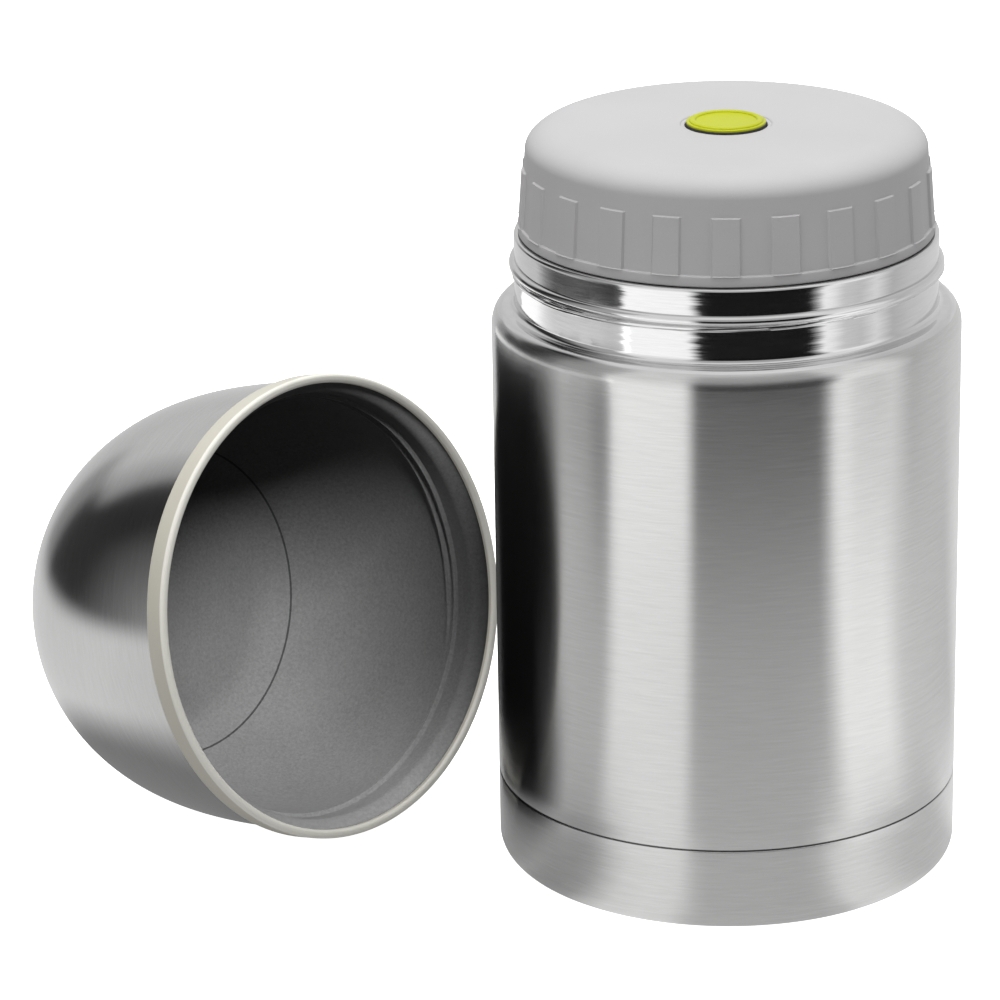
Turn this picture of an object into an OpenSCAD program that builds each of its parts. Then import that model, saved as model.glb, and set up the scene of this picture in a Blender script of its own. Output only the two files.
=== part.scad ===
// Insulated food jar: vacuum vessel, screw-in stopper with a release valve, and a screw-on cup.
// The origin is the centre of the foot, +Z runs up the jar's axis, and all sizes are in millimetres.
// The stopper is screwed in. The cup is off and lies on its side, with its mouth next to the jar.

/* [Vessel] */
// Outer diameter of the body
body_d = 98; // [92:1:104]
// Height of the shoulder above the floor
body_h = 122; // [112:1:135]
// Thickness of the steel sheet
sheet_t = 0.6; // [0.5:0.1:0.8]
// Height of the base cap, up to its seam
base_cap_h = 18.1; // [15:0.1:22]
// Radius of the rounded foot edge
base_round = 3.8; // [2.5:0.1:5]
// Width of the flat ring that the jar stands on
foot_ring_w = 7.4; // [6:0.1:9]
// Width of the ring groove under the foot
foot_groove_w = 15.8; // [10:0.2:18]
// Depth of the ring groove under the foot
foot_recess_h = 1.2; // [0.8:0.1:1.6]
// Width of the rounded shoulder
shoulder_w = 3; // [2:0.1:3.2]
// Height of the rounded shoulder
shoulder_h = 4.2; // [3:0.1:6]
// Clear space between the outer shell and the food liner
vacuum_gap = 3; // [2.6:0.1:3.6]
// Height of the food liner's underside above the floor
liner_floor_z = 12; // [11.2:0.1:14]
// Radius of the liner's bottom corner
liner_round = 9; // [5:0.5:14]
// Height of the closing plate's upper face
plate_z = 9; // [8:0.1:9.6]
// Thickness of the foil round the liner
foil_t = 0.12; // [0.08:0.01:0.2]
// Radius of the getter pellet
getter_r = 6; // [4:0.5:8]
// Radius of the evacuation hole
vent_r = 1.5; // [1:0.1:2]

/* [Neck] */
// Step in from the body's wall to the neck's
neck_inset = 4.9; // [4.6:0.1:5.2]
// Height of the neck above the shoulder
neck_h = 15.6; // [14.5:0.1:18]
// Radius of the fillet between neck and shoulder
neck_fillet = 1.2; // [0.8:0.1:1.3]
// Depth of the rolled bead over the neck's wall
bead_w = 1.1; // [0.8:0.1:1.4]
// Height of the rolled bead
bead_h = 2.2; // [1.8:0.1:2.6]
// Distance from the lip down to the middle of the bead
bead_drop = 6.55; // [5:0.05:7]
// Distance from the neck's outer face in to the wall of the mouth
mouth_wall = 2.4; // [2.2:0.1:2.6]
// Height of the cup thread's ridge on the neck
neck_ridge_h = 0.55; // [0.4:0.05:0.8]
// Rise of the cup thread in one turn
cup_pitch = 2.4; // [2:0.1:3]

/* [Stopper thread] */
// Rise of the stopper in one turn
thread_lead = 12; // [10.5:0.5:15]
// Number of thread starts
thread_starts = 3; // [2:1:3]
// Angle that each start covers
thread_sweep = 160; // [100:10:200]
// Depth of the thread
thread_depth = 0.85; // [0.7:0.05:0.9]
// Radial clearance between the stopper thread and the mouth
thread_clear = 0.35; // [0.3:0.05:0.45]
// Width of a thread ridge at its foot
thread_w = 1.5; // [1.2:0.1:1.6]

/* [Stopper] */
// Height of the stopper cap above the lip
cap_h = 22.4; // [20:0.05:26]
// Step in from the neck's outer face to the ledge at the cap's lower edge
ledge_inset = 0.9; // [0.7:0.05:1]
// Height of the ledge
ledge_h = 2.2; // [1.8:0.1:3]
// Step in from the ledge to the grip wall
grip_depth = 0.6; // [0.5:0.05:0.8]
// How far the grip wall leans in up to its top
grip_lean = 1.05; // [0.6:0.05:1.2]
// Width of the rounded corner of the cap
cap_corner_w = 8.05; // [4:0.05:12]
// Height of the rounded corner of the cap
cap_corner_h = 4.95; // [3:0.05:6]
// Thickness of the cap's top
cap_top_t = 2.2; // [1.8:0.1:2.6]
// Thickness of the grip wall at its foot
grip_wall = 2.8; // [2.6:0.1:3.2]
// Number of grip ribs
rib_n = 22; // [12:1:26]
// Angle that one rib covers
rib_angle = 7.7; // [5:0.1:9]
// Distance from the ledge's lower edge to the top of the ribs
rib_top = 14; // [9:0.1:15]
// Gap between the stopper cap and the lip
lip_gap = 0.15; // [0.1:0.05:0.3]
// Length of the plug below the lip
plug_len = 23.6; // [20:0.1:28]
// Wall of the plug
plug_wall = 2; // [1.6:0.1:2.6]
// Thickness of the disc that closes the plug
plug_base_t = 2; // [1.5:0.1:3]
// Height of the plug's collar inside the cap
collar_h = 12; // [8:0.5:14]
// Width of the lip gasket
gasket_w = 1.35; // [1.1:0.05:1.4]
// Height of the lip gasket
gasket_h = 1.5; // [1.2:0.1:2]
// Clearance round the lip gasket
gasket_clear = 0.3; // [0.25:0.05:0.35]

/* [Release valve] */
// Diameter of the push button
button_d = 16.4; // [14:0.1:18]
// Height of the push button
button_h = 0.9; // [0.7:0.1:1.4]
// Height of the button's lower edge above the cap
button_proud = 0.1; // [0:0.05:0.4]
// Travel of the button
valve_travel = 2; // [1.5:0.1:3]
// Clearance between the button and its hole
button_clear = 0.35; // [0.3:0.05:0.5]
// Length of the dark skirt below the button
skirt_len = 12; // [9:0.5:13]
// Wall of the skirt
skirt_wall = 1.3; // [1:0.1:1.6]
// Diameter of the valve stem
stem_d = 6; // [5:0.1:6.6]
// Running clearance of the stem in its guide
stem_clear = 0.08; // [0.05:0.01:0.1]
// Wall of the valve guide
guide_wall = 1.5; // [1.2:0.1:2]
// Diameter of the valve seal
seal_d = 15; // [13:0.5:18]
// Thickness of the valve seal
seal_t = 1.9; // [1.5:0.1:2.5]
// Diameter of the spring wire
wire_d = 0.8; // [0.6:0.1:0.9]
// Number of spring turns
spring_turns = 7; // [5:1:9]

/* [Cup] */
// How far the cup's rim stands out past the body's wall when the cup is on
cup_over = 1; // [0.6:0.1:1.4]
// Depth of the cup from its mouth to its foot
cup_depth = 69; // [67:0.5:71]
// Length of the whole dome curve, which the flat foot cuts short, as a share of the cup's depth
dome_share = 1.083; // [1.075:0.001:1.145]
// Power of the dome curve along the cup
dome_power_s = 2.99; // [2.7:0.01:3.1]
// Power of the dome curve across the cup
dome_power_r = 2.2; // [2.1:0.01:2.5]
// Radius of the cup's flat foot as a share of the rim's
cup_foot_share = 0.47; // [0.42:0.01:0.48]
// Depth of the recess in the cup's foot
cup_recess_h = 1; // [0.6:0.1:1.4]
// Thickness of the cup's steel sheet
cup_t = 0.5; // [0.4:0.1:0.6]
// Length of the rim ring's outer band
rim_h = 4.8; // [4:0.1:6]
// Width of the rim ring's lip
rim_w = 1.9; // [1.7:0.1:2.1]
// Step in from the rim's outer face to the liner's wall where it carries the thread
cup_thread_inset = 4; // [3.8:0.1:4.2]
// Height of the cup's thread ridge
cup_ridge_h = 0.9; // [0.7:0.1:1.1]
// Distance from the cup's foot up to the crease round the liner's bottom
cup_step_rise = 17; // [15:0.5:19]
// Radius of the crease round the liner's bottom as a share of the rim's
cup_step_share = 0.688; // [0.65:0.002:0.72]
// Distance from the jar's wall to the middle of the cup's mouth
cup_reach = 34.6; // [34:0.1:60]
// Sideways place of the middle of the cup's mouth
cup_y = 2.5; // [-5:0.1:15]
// Upward tilt of the cup's axis
cup_tilt = 12.3; // [8:0.1:16]
// Turn of the cup's axis about the vertical
cup_turn = -39.9; // [-60:0.1:-30]

/* [Hidden] */
$fn = 96;

// Vessel
body_r = body_d / 2;
neck_r = body_r - neck_inset;
mouth_r = neck_r - mouth_wall;
lip_z = body_h + neck_h;
lip_round = 0.7;
lip_weld_r = neck_r - lip_round - 0.3;
lap_fit = 0.05;
lap_r = body_r - sheet_t - lap_fit;
lap_inner_r = lap_r - sheet_t;
lap_low_z = 5.5;
seam_w = 0.35;
liner_r = body_r - sheet_t - vacuum_gap;
liner_neck_r = mouth_r + sheet_t;
liner_slope_z = body_h - 5.5;
liner_slope_h = 4;
plate_round = 1.5;
foil_low_z = liner_floor_z + liner_round + 3;
foil_high_z = liner_slope_z - 2;
getter_h = 1.6;
getter_x = 16;
solder_r = 2 * vent_r;
solder_h = 0.8;
foot_ring_r = body_r - base_round - foot_ring_w;
foot_slope_w = 1.5 * foot_recess_h;
foot_disc_r = foot_ring_r - foot_groove_w;

// Threads: the stopper's ridges run in the middle of the gaps between the mouth's ridges
thread_step = thread_lead / thread_starts;
thread_tip = thread_w / 2;
thread_low_z = lip_z - 14;
mouth_crest_r = mouth_r - thread_depth;
plug_r = mouth_crest_r - thread_clear;
plug_crest_r = mouth_r - thread_clear;
ridge_bury = 0.3;
cup_ridge_w = 1.1;
cup_ridge_tip = 0.5;
neck_ridge_z = lip_z - bead_drop - bead_h / 2 - 0.4;
neck_ridge_sweep = 300;
neck_ridge_turn = 200;

// Stopper
cap_z = lip_z + lip_gap;
top_z = cap_z + cap_h - lip_gap;
wall_top_z = top_z - cap_corner_h;
ledge_r = neck_r - ledge_inset;
ledge_top_z = cap_z + ledge_h;
grip_low_r = ledge_r - grip_depth;
grip_top_r = grip_low_r - grip_lean;
cap_flat_r = grip_top_r - cap_corner_w;
cap_bore_r = grip_low_r - grip_wall;
cap_in_z = top_z - cap_top_t;
edge_ease = 0.3;
rib_ease = 0.06;
gasket_out_r = mouth_r + 0.6;
gasket_in_r = gasket_out_r - gasket_w;
gasket_z = lip_z + 0.05;
groove_top_z = gasket_z + gasket_h + gasket_clear / 2;
groove_r = gasket_out_r + gasket_clear;
collar_top_z = groove_top_z + collar_h;
plug_z = lip_z - plug_len;
plug_in_r = plug_r - plug_wall;
collar_in_r = cap_bore_r - plug_wall;
plug_base_top = plug_z + plug_base_t;
foam_gap = 0.5;

// Valve
button_r = button_d / 2;
hole_r = button_r + button_clear;
halo_r = hole_r + 0.9;
halo_h = 0.25;
button_z = top_z + button_proud;
skirt_r = hole_r - button_clear;
skirt_in_r = skirt_r - skirt_wall;
skirt_top_t = 1.6;
skirt_low_z = button_z - skirt_len;
stem_r = stem_d / 2;
guide_r = hole_r + guide_wall;
guide_bore_r = stem_r + stem_clear;
web_t = 2.4;
web_top_z = skirt_low_z - valve_travel - 5;
guide_low_r = 6;
seat_hole_r = stem_r + 1;
seat_gap = 0.05;
seal_z = plug_z - seat_gap - seal_t;
clip_t = 1;
clip_r = stem_r + 2;
clip_groove = 0.4;
stem_low_z = seal_z - clip_t - 0.8;
spring_low_z = web_top_z;
spring_high_z = button_z - skirt_top_t;
spring_r = (stem_r + skirt_in_r) / 2;

// Cup, in its own frame: the mouth is at z = 0 and faces +Z, and depths run towards -Z
cup_r = body_r + cup_over;
cup_foot_r = cup_foot_share * cup_r;
cup_thread_r = cup_r - cup_thread_inset;
cup_step_r = cup_step_share * cup_r;
cup_step_s = cup_depth - cup_step_rise;
rim_proud = 1.5;
cup_shell_r = cup_r - rim_proud;
rim_in_r = cup_r - rim_w;
rim_round = 0.6;
rim_seat = 1.4;
shell_seat = 3.8;
shell_ledge = 0.8;
slot_fit = 0.05;
dome_len = dome_share * cup_depth;
dome_end = asin(pow(0.94 / dome_share, dome_power_s / 2));
dome_n = 18;
dome_cut = [for (i = [0:dome_n]) dome_point(dome_end * i / dome_n)];
cup_floor_s = cup_step_s + 4.5;
cup_low = max([for (p = dome_cut) p.y * sin(cup_tilt) + p.x * cos(cup_tilt)]);
cup_centre = [-body_r - cup_reach, cup_y, cup_low];

// Points of an elliptical arc
function arc(c, rx, ry, a0, a1, n) =
    [for (i = [0:n]) let (a = a0 + (a1 - a0) * i / n) [c.x + rx * cos(a), c.y + ry * sin(a)]];

// Points of a curve with one control point
function bend(a, b, c, n) =
    [for (i = [1:n]) let (t = i / n) a * (1 - t) * (1 - t) + b * 2 * t * (1 - t) + c * t * t];

// Left-hand normal of the run from a to b
function left_of(a, b) = [a.y - b.y, b.x - a.x] / norm(b - a);

// A point of the path moved to its left by t, mitred between its two runs
function shifted(path, i, t) =
    let (
        last = len(path) - 1,
        before = left_of(path[max(i - 1, 0)], path[max(i, 1)]),
        after = left_of(path[min(i, last - 1)], path[min(i + 1, last)])
    )
    path[i] + (before + after) * t / (1 + before * after);

// Closed outline of a sheet of thickness t on the left of a path
function sheet(path, t) =
    concat(path, [for (i = [len(path) - 1:-1:0]) shifted(path, i, t)]);

// A depth profile turned into heights below the mouth
function sunk(path) = [for (p = path) [p.x, -p.y]];

// Radius and depth of the cup's dome at one step of its curve
function dome_point(a) =
    [cup_shell_r * pow(cos(a), 2 / dome_power_r), dome_len * pow(sin(a), 2 / dome_power_s)];

// Share of its full height that a ridge has at step i of n, run out over the given number of steps
function run_out(i, n, fade) = min(1, i / fade, (n - i) / fade);

// One helical ridge on a wall of radius wall_r, standing to crest_r
module ridge(wall_r, crest_r, z0, a0, sweep, lead, foot_w, tip_w, degrees_each = 5, fade = 4) {
    n = ceil(sweep / degrees_each);
    out = sign(crest_r - wall_r);
    section = [for (i = [0:n]) let (
            a = a0 + sweep * i / n,
            z = z0 + lead * sweep * i / n / 360,
            low = wall_r - out * ridge_bury / 2,
            tip = low + (crest_r - low) * run_out(i, n, fade)
        )
        for (p = [[wall_r - out * ridge_bury, -foot_w / 2], [tip, -tip_w / 2],
                  [tip, tip_w / 2], [wall_r - out * ridge_bury, foot_w / 2]])
            [p.x * cos(a), p.x * sin(a), z + p.y]];
    sides = [for (i = [0:n - 1], j = [0:3]) let (k = (j + 1) % 4)
        [4 * i + j, 4 * i + 4 + j, 4 * i + 4 + k, 4 * i + k]];
    ends = [[0, 1, 2, 3], [4 * n + 3, 4 * n + 2, 4 * n + 1, 4 * n]];
    faces = concat(sides, ends);
    polyhedron(section, out < 0 ? faces : [for (f = faces) [f[3], f[2], f[1], f[0]]]);
}

// The stopper thread's ridges: the mouth's stand inwards, the plug's outwards
module thread_ridges(wall_r, crest_r, lift) {
    for (k = [0:thread_starts - 1])
        ridge(wall_r, crest_r, thread_low_z + lift, 360 * k / thread_starts, thread_sweep, thread_lead,
            thread_w, thread_tip);
}

// A tube
module tube(r_out, r_in, z0, z1) {
    rotate_extrude()
        polygon([[r_in, z0], [r_out, z0], [r_out, z1], [r_in, z1]]);
}

// Puts the cup where it lies
module lying_cup() {
    translate(cup_centre)
        rotate([0, 90 - cup_tilt, cup_turn])
            children();
}

module outer_shell() {
    path = concat(
        [[lap_r, lap_low_z], [lap_r, base_cap_h + seam_w / 2], [body_r, base_cap_h + seam_w]],
        arc([body_r - shoulder_w, body_h - shoulder_h], shoulder_w, shoulder_h, 0, 90, 8),
        arc([neck_r + neck_fillet, body_h + neck_fillet], neck_fillet, neck_fillet, 270, 180, 4),
        arc([neck_r, lip_z - bead_drop], bead_w, bead_h / 2, -90, 90, 8),
        arc([neck_r - lip_round, lip_z - lip_round], lip_round, lip_round, 0, 90, 4),
        [[lip_weld_r, lip_z]]
    );
    color("silver")
        union() {
            rotate_extrude()
                polygon(sheet(path, sheet_t));
            ridge(neck_r, neck_r + neck_ridge_h, neck_ridge_z - cup_pitch * neck_ridge_turn / 360,
                270 - neck_ridge_turn, neck_ridge_sweep, cup_pitch, cup_ridge_w, cup_ridge_tip);
        }
}

module inner_vessel() {
    path = concat(
        [[0, liner_floor_z]],
        arc([liner_r - liner_round, liner_floor_z + liner_round], liner_round, liner_round, -90, 0, 6),
        bend([liner_r, liner_slope_z], [liner_r, liner_slope_z + liner_slope_h / 2],
            [(liner_r + liner_neck_r) / 2, liner_slope_z + liner_slope_h / 2], 4),
        bend([(liner_r + liner_neck_r) / 2, liner_slope_z + liner_slope_h / 2],
            [liner_neck_r, liner_slope_z + liner_slope_h / 2],
            [liner_neck_r, liner_slope_z + liner_slope_h], 4),
        [[liner_neck_r, lip_z - sheet_t], [lip_weld_r, lip_z - sheet_t]]
    );
    color("lightgray")
        union() {
            rotate_extrude()
                polygon(sheet(path, sheet_t));
            thread_ridges(mouth_r, mouth_crest_r, thread_step / 2);
        }
}

module bottom_plate() {
    path = concat(
        [[lap_inner_r, lap_low_z]],
        arc([lap_inner_r - plate_round, plate_z - plate_round], plate_round, plate_round, 0, 90, 4),
        [[0, plate_z]]
    );
    color("gray")
        difference() {
            rotate_extrude()
                polygon(sheet(path, sheet_t));
            translate([0, 0, plate_z - 2 * sheet_t])
                cylinder(r = vent_r, h = 3 * sheet_t);
        }
}

module vacuum_seal() {
    color("darkgray")
        union() {
            translate([0, 0, plate_z - sheet_t])
                cylinder(r = vent_r, h = sheet_t);
            translate([0, 0, plate_z - sheet_t - solder_h])
                cylinder(r = solder_r, h = solder_h);
        }
}

module getter() {
    color("dimgray")
        translate([getter_x, 0, plate_z])
            cylinder(r = getter_r, h = getter_h);
}

module radiation_foil() {
    color("goldenrod")
        tube(liner_r + foil_t, liner_r, foil_low_z, foil_high_z);
}

module base_cap() {
    path = concat(
        [[0, 0], [foot_disc_r, 0], [foot_disc_r + foot_slope_w, foot_recess_h]],
        [[foot_ring_r - foot_slope_w, foot_recess_h], [foot_ring_r, 0]],
        arc([body_r - base_round, base_round], base_round, base_round, -90, 0, 6),
        [[body_r, base_cap_h]]
    );
    color("silver")
        rotate_extrude()
            polygon(sheet(path, sheet_t));
}

module stopper_cap() {
    outer = concat(
        [[ledge_r - edge_ease, cap_z], [ledge_r, cap_z + edge_ease], [ledge_r, ledge_top_z]],
        [[grip_low_r, ledge_top_z]],
        arc([cap_flat_r, wall_top_z], cap_corner_w, cap_corner_h, 0, 90, 10)
    );
    inner = [
        [halo_r, top_z], [halo_r, top_z - halo_h], [hole_r, top_z - halo_h], [hole_r, cap_in_z],
        [cap_bore_r - 2, cap_in_z], [cap_bore_r, cap_in_z - 2], [cap_bore_r, groove_top_z],
        [groove_r, groove_top_z], [groove_r, cap_z]
    ];
    rib_z = cap_z + rib_top;
    draft = (grip_low_r - grip_top_r) / (wall_top_z - ledge_top_z);
    rib_low_r = ledge_r - rib_ease;
    rib_top_r = rib_low_r - draft * (rib_z - ledge_top_z);
    color("lightsteelblue")
        union() {
            rotate_extrude()
                polygon(concat(outer, inner));
            for (k = [0:rib_n - 1])
                rotate([0, 0, 360 * (k + 0.5) / rib_n - rib_angle / 2])
                    rotate_extrude(angle = rib_angle)
                        polygon([[grip_low_r - 1, ledge_top_z - 0.5], [rib_low_r, ledge_top_z - 0.5],
                            [rib_low_r, ledge_top_z], [rib_top_r, rib_z], [grip_low_r - 1, rib_z]]);
        }
}

module stopper_plug() {
    color("gainsboro")
        union() {
            rotate_extrude()
                polygon([
                    [plug_in_r, plug_z], [plug_r, plug_z], [plug_r, groove_top_z], [cap_bore_r, groove_top_z],
                    [cap_bore_r, collar_top_z], [collar_in_r, collar_top_z],
                    [collar_in_r, groove_top_z - plug_wall], [plug_in_r, groove_top_z - plug_wall]
                ]);
            thread_ridges(plug_r, plug_crest_r, 0);
        }
}

module stopper_base() {
    color("gainsboro")
        tube(plug_in_r, seat_hole_r, plug_z, plug_base_top);
}

module stopper_insulation() {
    step_z = groove_top_z - plug_wall;
    color("white")
        rotate_extrude()
            polygon([
                [guide_r, plug_base_top], [plug_in_r, plug_base_top], [plug_in_r, step_z],
                [collar_in_r, step_z], [collar_in_r, cap_in_z - foam_gap], [guide_r, cap_in_z - foam_gap]
            ]);
}

module valve_guide() {
    color("whitesmoke")
        rotate_extrude()
            polygon([
                [guide_low_r, plug_base_top], [guide_r, plug_base_top], [guide_r, cap_in_z],
                [hole_r, cap_in_z], [hole_r, web_top_z], [guide_bore_r, web_top_z],
                [guide_bore_r, web_top_z - web_t],
                [guide_low_r, web_top_z - web_t]
            ]);
}

module lip_gasket() {
    color("white")
        tube(gasket_out_r, gasket_in_r, gasket_z, gasket_z + gasket_h);
}

module valve_button() {
    bead_r = button_r * 0.84;
    dish_r = button_r * 0.69;
    outline = concat(
        [[0, button_z], [button_r, button_z], [button_r, button_z + button_h * 0.4]],
        bend([button_r, button_z + button_h * 0.4], [button_r, button_z + button_h * 0.6],
            [button_r * 0.93, button_z + button_h * 0.6], 3),
        arc([bead_r, button_z + button_h * 0.6], button_r * 0.09, button_h * 0.4, 0, 180, 6),
        [[dish_r, button_z + button_h * 0.55], [0, button_z + button_h * 0.45]]
    );
    color("yellowgreen")
        rotate_extrude()
            polygon(outline);
}

module button_skirt() {
    color("dimgray")
        rotate_extrude()
            polygon([
                [stem_r, spring_high_z], [skirt_in_r, spring_high_z], [skirt_in_r, skirt_low_z],
                [skirt_r, skirt_low_z], [skirt_r, button_z], [stem_r, button_z]
            ]);
}

module valve_stem() {
    neck = stem_r - clip_groove;
    color("whitesmoke")
        rotate_extrude()
            polygon([
                [0, stem_low_z], [stem_r, stem_low_z], [stem_r, seal_z - clip_t], [neck, seal_z - clip_t],
                [neck, seal_z], [stem_r, seal_z], [stem_r, button_z], [0, button_z]
            ]);
}

module valve_spring() {
    sides = 6;
    per_turn = 18;
    rings = spring_turns * per_turn;
    rise = spring_high_z - spring_low_z - wire_d;
    points = [for (i = [0:rings], j = [0:sides - 1]) let (
            a = 360 * i / per_turn,
            b = 360 * j / sides,
            r = spring_r + wire_d / 2 * cos(b)
        )
        [r * cos(a), r * sin(a), spring_low_z + wire_d / 2 + rise * i / rings + wire_d / 2 * sin(b)]];
    skin = [for (i = [0:rings - 1], j = [0:sides - 1]) let (k = (j + 1) % sides)
        [sides * i + k, sides * i + sides + k, sides * i + sides + j, sides * i + j]];
    ends = [[for (j = [sides - 1:-1:0]) j], [for (j = [0:sides - 1]) sides * rings + j]];
    color("silver")
        polyhedron(points, concat(skin, ends));
}

module valve_seal() {
    color("white")
        tube(seal_d / 2, stem_r, seal_z, seal_z + seal_t);
}

module seal_clip() {
    color("silver")
        tube(clip_r, stem_r - clip_groove, seal_z - clip_t, seal_z);
}

module cup_shell() {
    last = dome_point(dome_end);
    run = last - dome_point(dome_end - 0.5);
    turn = last + run * (cup_depth - last.y) / run.y;
    path = concat(
        [[cup_shell_r, shell_seat]],
        [for (i = [1:dome_n]) dome_cut[i]],
        bend(last, turn, [cup_foot_r, cup_depth], 5),
        [[cup_foot_r - 2, cup_depth], [cup_foot_r - 3, cup_depth - cup_recess_h]],
        [[0, cup_depth - cup_recess_h]]
    );
    color("silver")
        lying_cup()
            rotate_extrude()
                polygon(sheet(sunk(path), -cup_t));
}

module cup_liner() {
    back_r = cup_thread_r + cup_t;
    step_r = cup_step_r + cup_t;
    path = concat(
        [[rim_in_r + cup_t, rim_seat], [rim_in_r + cup_t, 2.2], [back_r, 4.4], [back_r, 14]],
        bend([back_r, 14], [back_r - 0.5, cup_step_s - 14], [step_r, cup_step_s], 10),
        bend([step_r, cup_step_s], [step_r - 3.6, cup_floor_s], [step_r - 9, cup_floor_s], 4),
        [[0, cup_floor_s]]
    );
    color("darkgray")
        lying_cup()
            union() {
                rotate_extrude()
                    polygon(sheet(sunk(path), -cup_t));
                ridge(cup_thread_r, cup_thread_r - cup_ridge_h, -12, 60, 600, cup_pitch,
                    cup_ridge_w, cup_ridge_tip);
            }
}

module cup_rim() {
    seat_r = rim_in_r + cup_t + slot_fit;
    slot_r = cup_shell_r - cup_t;
    outline = concat(
        [[cup_shell_r, rim_h], [cup_r, rim_h]],
        [for (p = arc([cup_r - rim_round, -rim_round], rim_round, rim_round, 0, 90, 4)) [p.x, -p.y]],
        [for (p = arc([rim_in_r + rim_round, -rim_round], rim_round, rim_round, 90, 180, 4)) [p.x, -p.y]],
        [[rim_in_r, rim_seat], [seat_r, rim_seat], [seat_r, shell_seat - shell_ledge]],
        [[slot_r, shell_seat - shell_ledge], [slot_r, shell_seat], [cup_shell_r, shell_seat]]
    );
    color("beige")
        lying_cup()
            rotate_extrude()
                polygon(sunk(outline));
}

module cup_insulation() {
    s_low = cup_depth - cup_recess_h - cup_t;
    color("white")
        lying_cup()
            translate([0, 0, -s_low])
                cylinder(r = cup_foot_r - 4, h = s_low - cup_floor_s);
}

outer_shell();
inner_vessel();
bottom_plate();
vacuum_seal();
getter();
radiation_foil();
base_cap();
stopper_cap();
stopper_plug();
stopper_base();
stopper_insulation();
valve_guide();
lip_gasket();
valve_button();
button_skirt();
valve_stem();
valve_spring();
valve_seal();
seal_clip();
cup_shell();
cup_liner();
cup_rim();
cup_insulation();
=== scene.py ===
"""Looks of an insulated food jar: a steel vessel, its ribbed stopper with a release valve, and a domed cup.

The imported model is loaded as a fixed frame. Each sub-assembly below turns its own sizes, in millimetres, into
meshes in that frame, dresses them in procedural finishes and lets them ride on the bodies of the frame.
"""

import logging
import math
from collections.abc import Callable
from dataclasses import dataclass, field
from enum import Enum

import bmesh
import bpy
import numpy as np
from mathutils import Matrix, Vector


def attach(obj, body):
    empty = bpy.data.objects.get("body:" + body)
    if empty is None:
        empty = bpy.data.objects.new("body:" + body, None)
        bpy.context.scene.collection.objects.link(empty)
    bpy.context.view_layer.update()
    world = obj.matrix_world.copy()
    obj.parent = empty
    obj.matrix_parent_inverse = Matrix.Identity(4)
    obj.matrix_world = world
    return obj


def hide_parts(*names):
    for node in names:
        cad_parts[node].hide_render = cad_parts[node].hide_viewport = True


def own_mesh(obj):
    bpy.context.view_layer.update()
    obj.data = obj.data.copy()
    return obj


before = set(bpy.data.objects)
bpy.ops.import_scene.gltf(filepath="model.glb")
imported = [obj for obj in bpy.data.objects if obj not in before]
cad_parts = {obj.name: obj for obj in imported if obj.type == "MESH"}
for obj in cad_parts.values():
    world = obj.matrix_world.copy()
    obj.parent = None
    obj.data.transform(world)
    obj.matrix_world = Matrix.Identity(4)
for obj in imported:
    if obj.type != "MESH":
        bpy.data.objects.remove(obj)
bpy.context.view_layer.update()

LOG = logging.getLogger("food_jar")
MM = 0.001
SAME_POINT = 1e-4
MERGE = 1e-7
SHARP = 35.0
FLOOR_GAP = 0.0002
WALL_COLUMNS = 288
DISC_COLUMNS = 192
BUTTON_COLUMNS = 144
PIN_COLUMNS = 96

Point = tuple[float, float]
Trio = tuple[float, float, float]
Place = tuple[float, float, float]
Colour = tuple[float, float, float]
Socket = bpy.types.NodeSocket
Relief = Callable[[np.ndarray, np.ndarray, np.ndarray], np.ndarray]


# Outlines and meshes


def arc(centre: Point, radii: Point, start: float, end: float, steps: int) -> list[Point]:
    """Gives points of an elliptical arc.

    Args:
        centre: Radius and height of the arc's centre.
        radii: Half-axes across and along the axis.
        start: First angle in degrees.
        end: Last angle in degrees.
        steps: Number of runs.

    Returns:
        The arc's points, both ends included.
    """
    turns = [math.radians(start + (end - start) * i / steps) for i in range(steps + 1)]
    return [(centre[0] + radii[0] * math.cos(t), centre[1] + radii[1] * math.sin(t)) for t in turns]


def bend(a: Point, b: Point, c: Point, steps: int) -> list[Point]:
    """Gives points of a curve from a to c that b pulls towards itself.

    Args:
        a: First point, which is left out of the result.
        b: Control point.
        c: Last point.
        steps: Number of runs.

    Returns:
        The points after a.
    """
    result = []
    for i in range(1, steps + 1):
        t = i / steps
        result.append(tuple(a[k] * (1 - t) ** 2 + b[k] * 2 * t * (1 - t) + c[k] * t * t for k in (0, 1)))
    return result


def dense(path: list[Point], gap: float) -> list[Point]:
    """Adds points to the long runs of a path.

    Args:
        path: The path's points.
        gap: Longest run that is left.

    Returns:
        The path with its added points.
    """
    result = [path[0]]
    for a, b in zip(path, path[1:]):
        parts = max(1, math.ceil(math.dist(a, b) / gap))
        run, rise = b[0] - a[0], b[1] - a[1]
        result += [(a[0] + run * i / parts, a[1] + rise * i / parts) for i in range(1, parts + 1)]
    return result


def sheet(path: list[Point], thickness: float) -> list[Point]:
    """Closes a path into the section of a sheet.

    Args:
        path: Outer face, from one end to the other.
        thickness: Thickness on the left of the path; a negative one lies on its right.

    Returns:
        The closed outline.
    """
    pts = [Vector(p) for p in path]
    back = []
    for i, p in enumerate(pts):
        before = (pts[i] - pts[i - 1]) if i else (pts[1] - pts[0])
        after = (pts[i + 1] - pts[i]) if i + 1 < len(pts) else (pts[-1] - pts[-2])
        n0 = Vector((-before.y, before.x)).normalized()
        n1 = Vector((-after.y, after.x)).normalized()
        q = p + (n0 + n1) * thickness / (1 + n0.dot(n1))
        back.append((max(q.x, 0.0), q.y))
    return list(path) + back[::-1]


def ring_angles(count: int) -> np.ndarray:
    """Gives evenly spaced angles round the axis, in radians."""
    return np.linspace(0.0, 2 * math.pi, count, endpoint=False)


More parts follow.
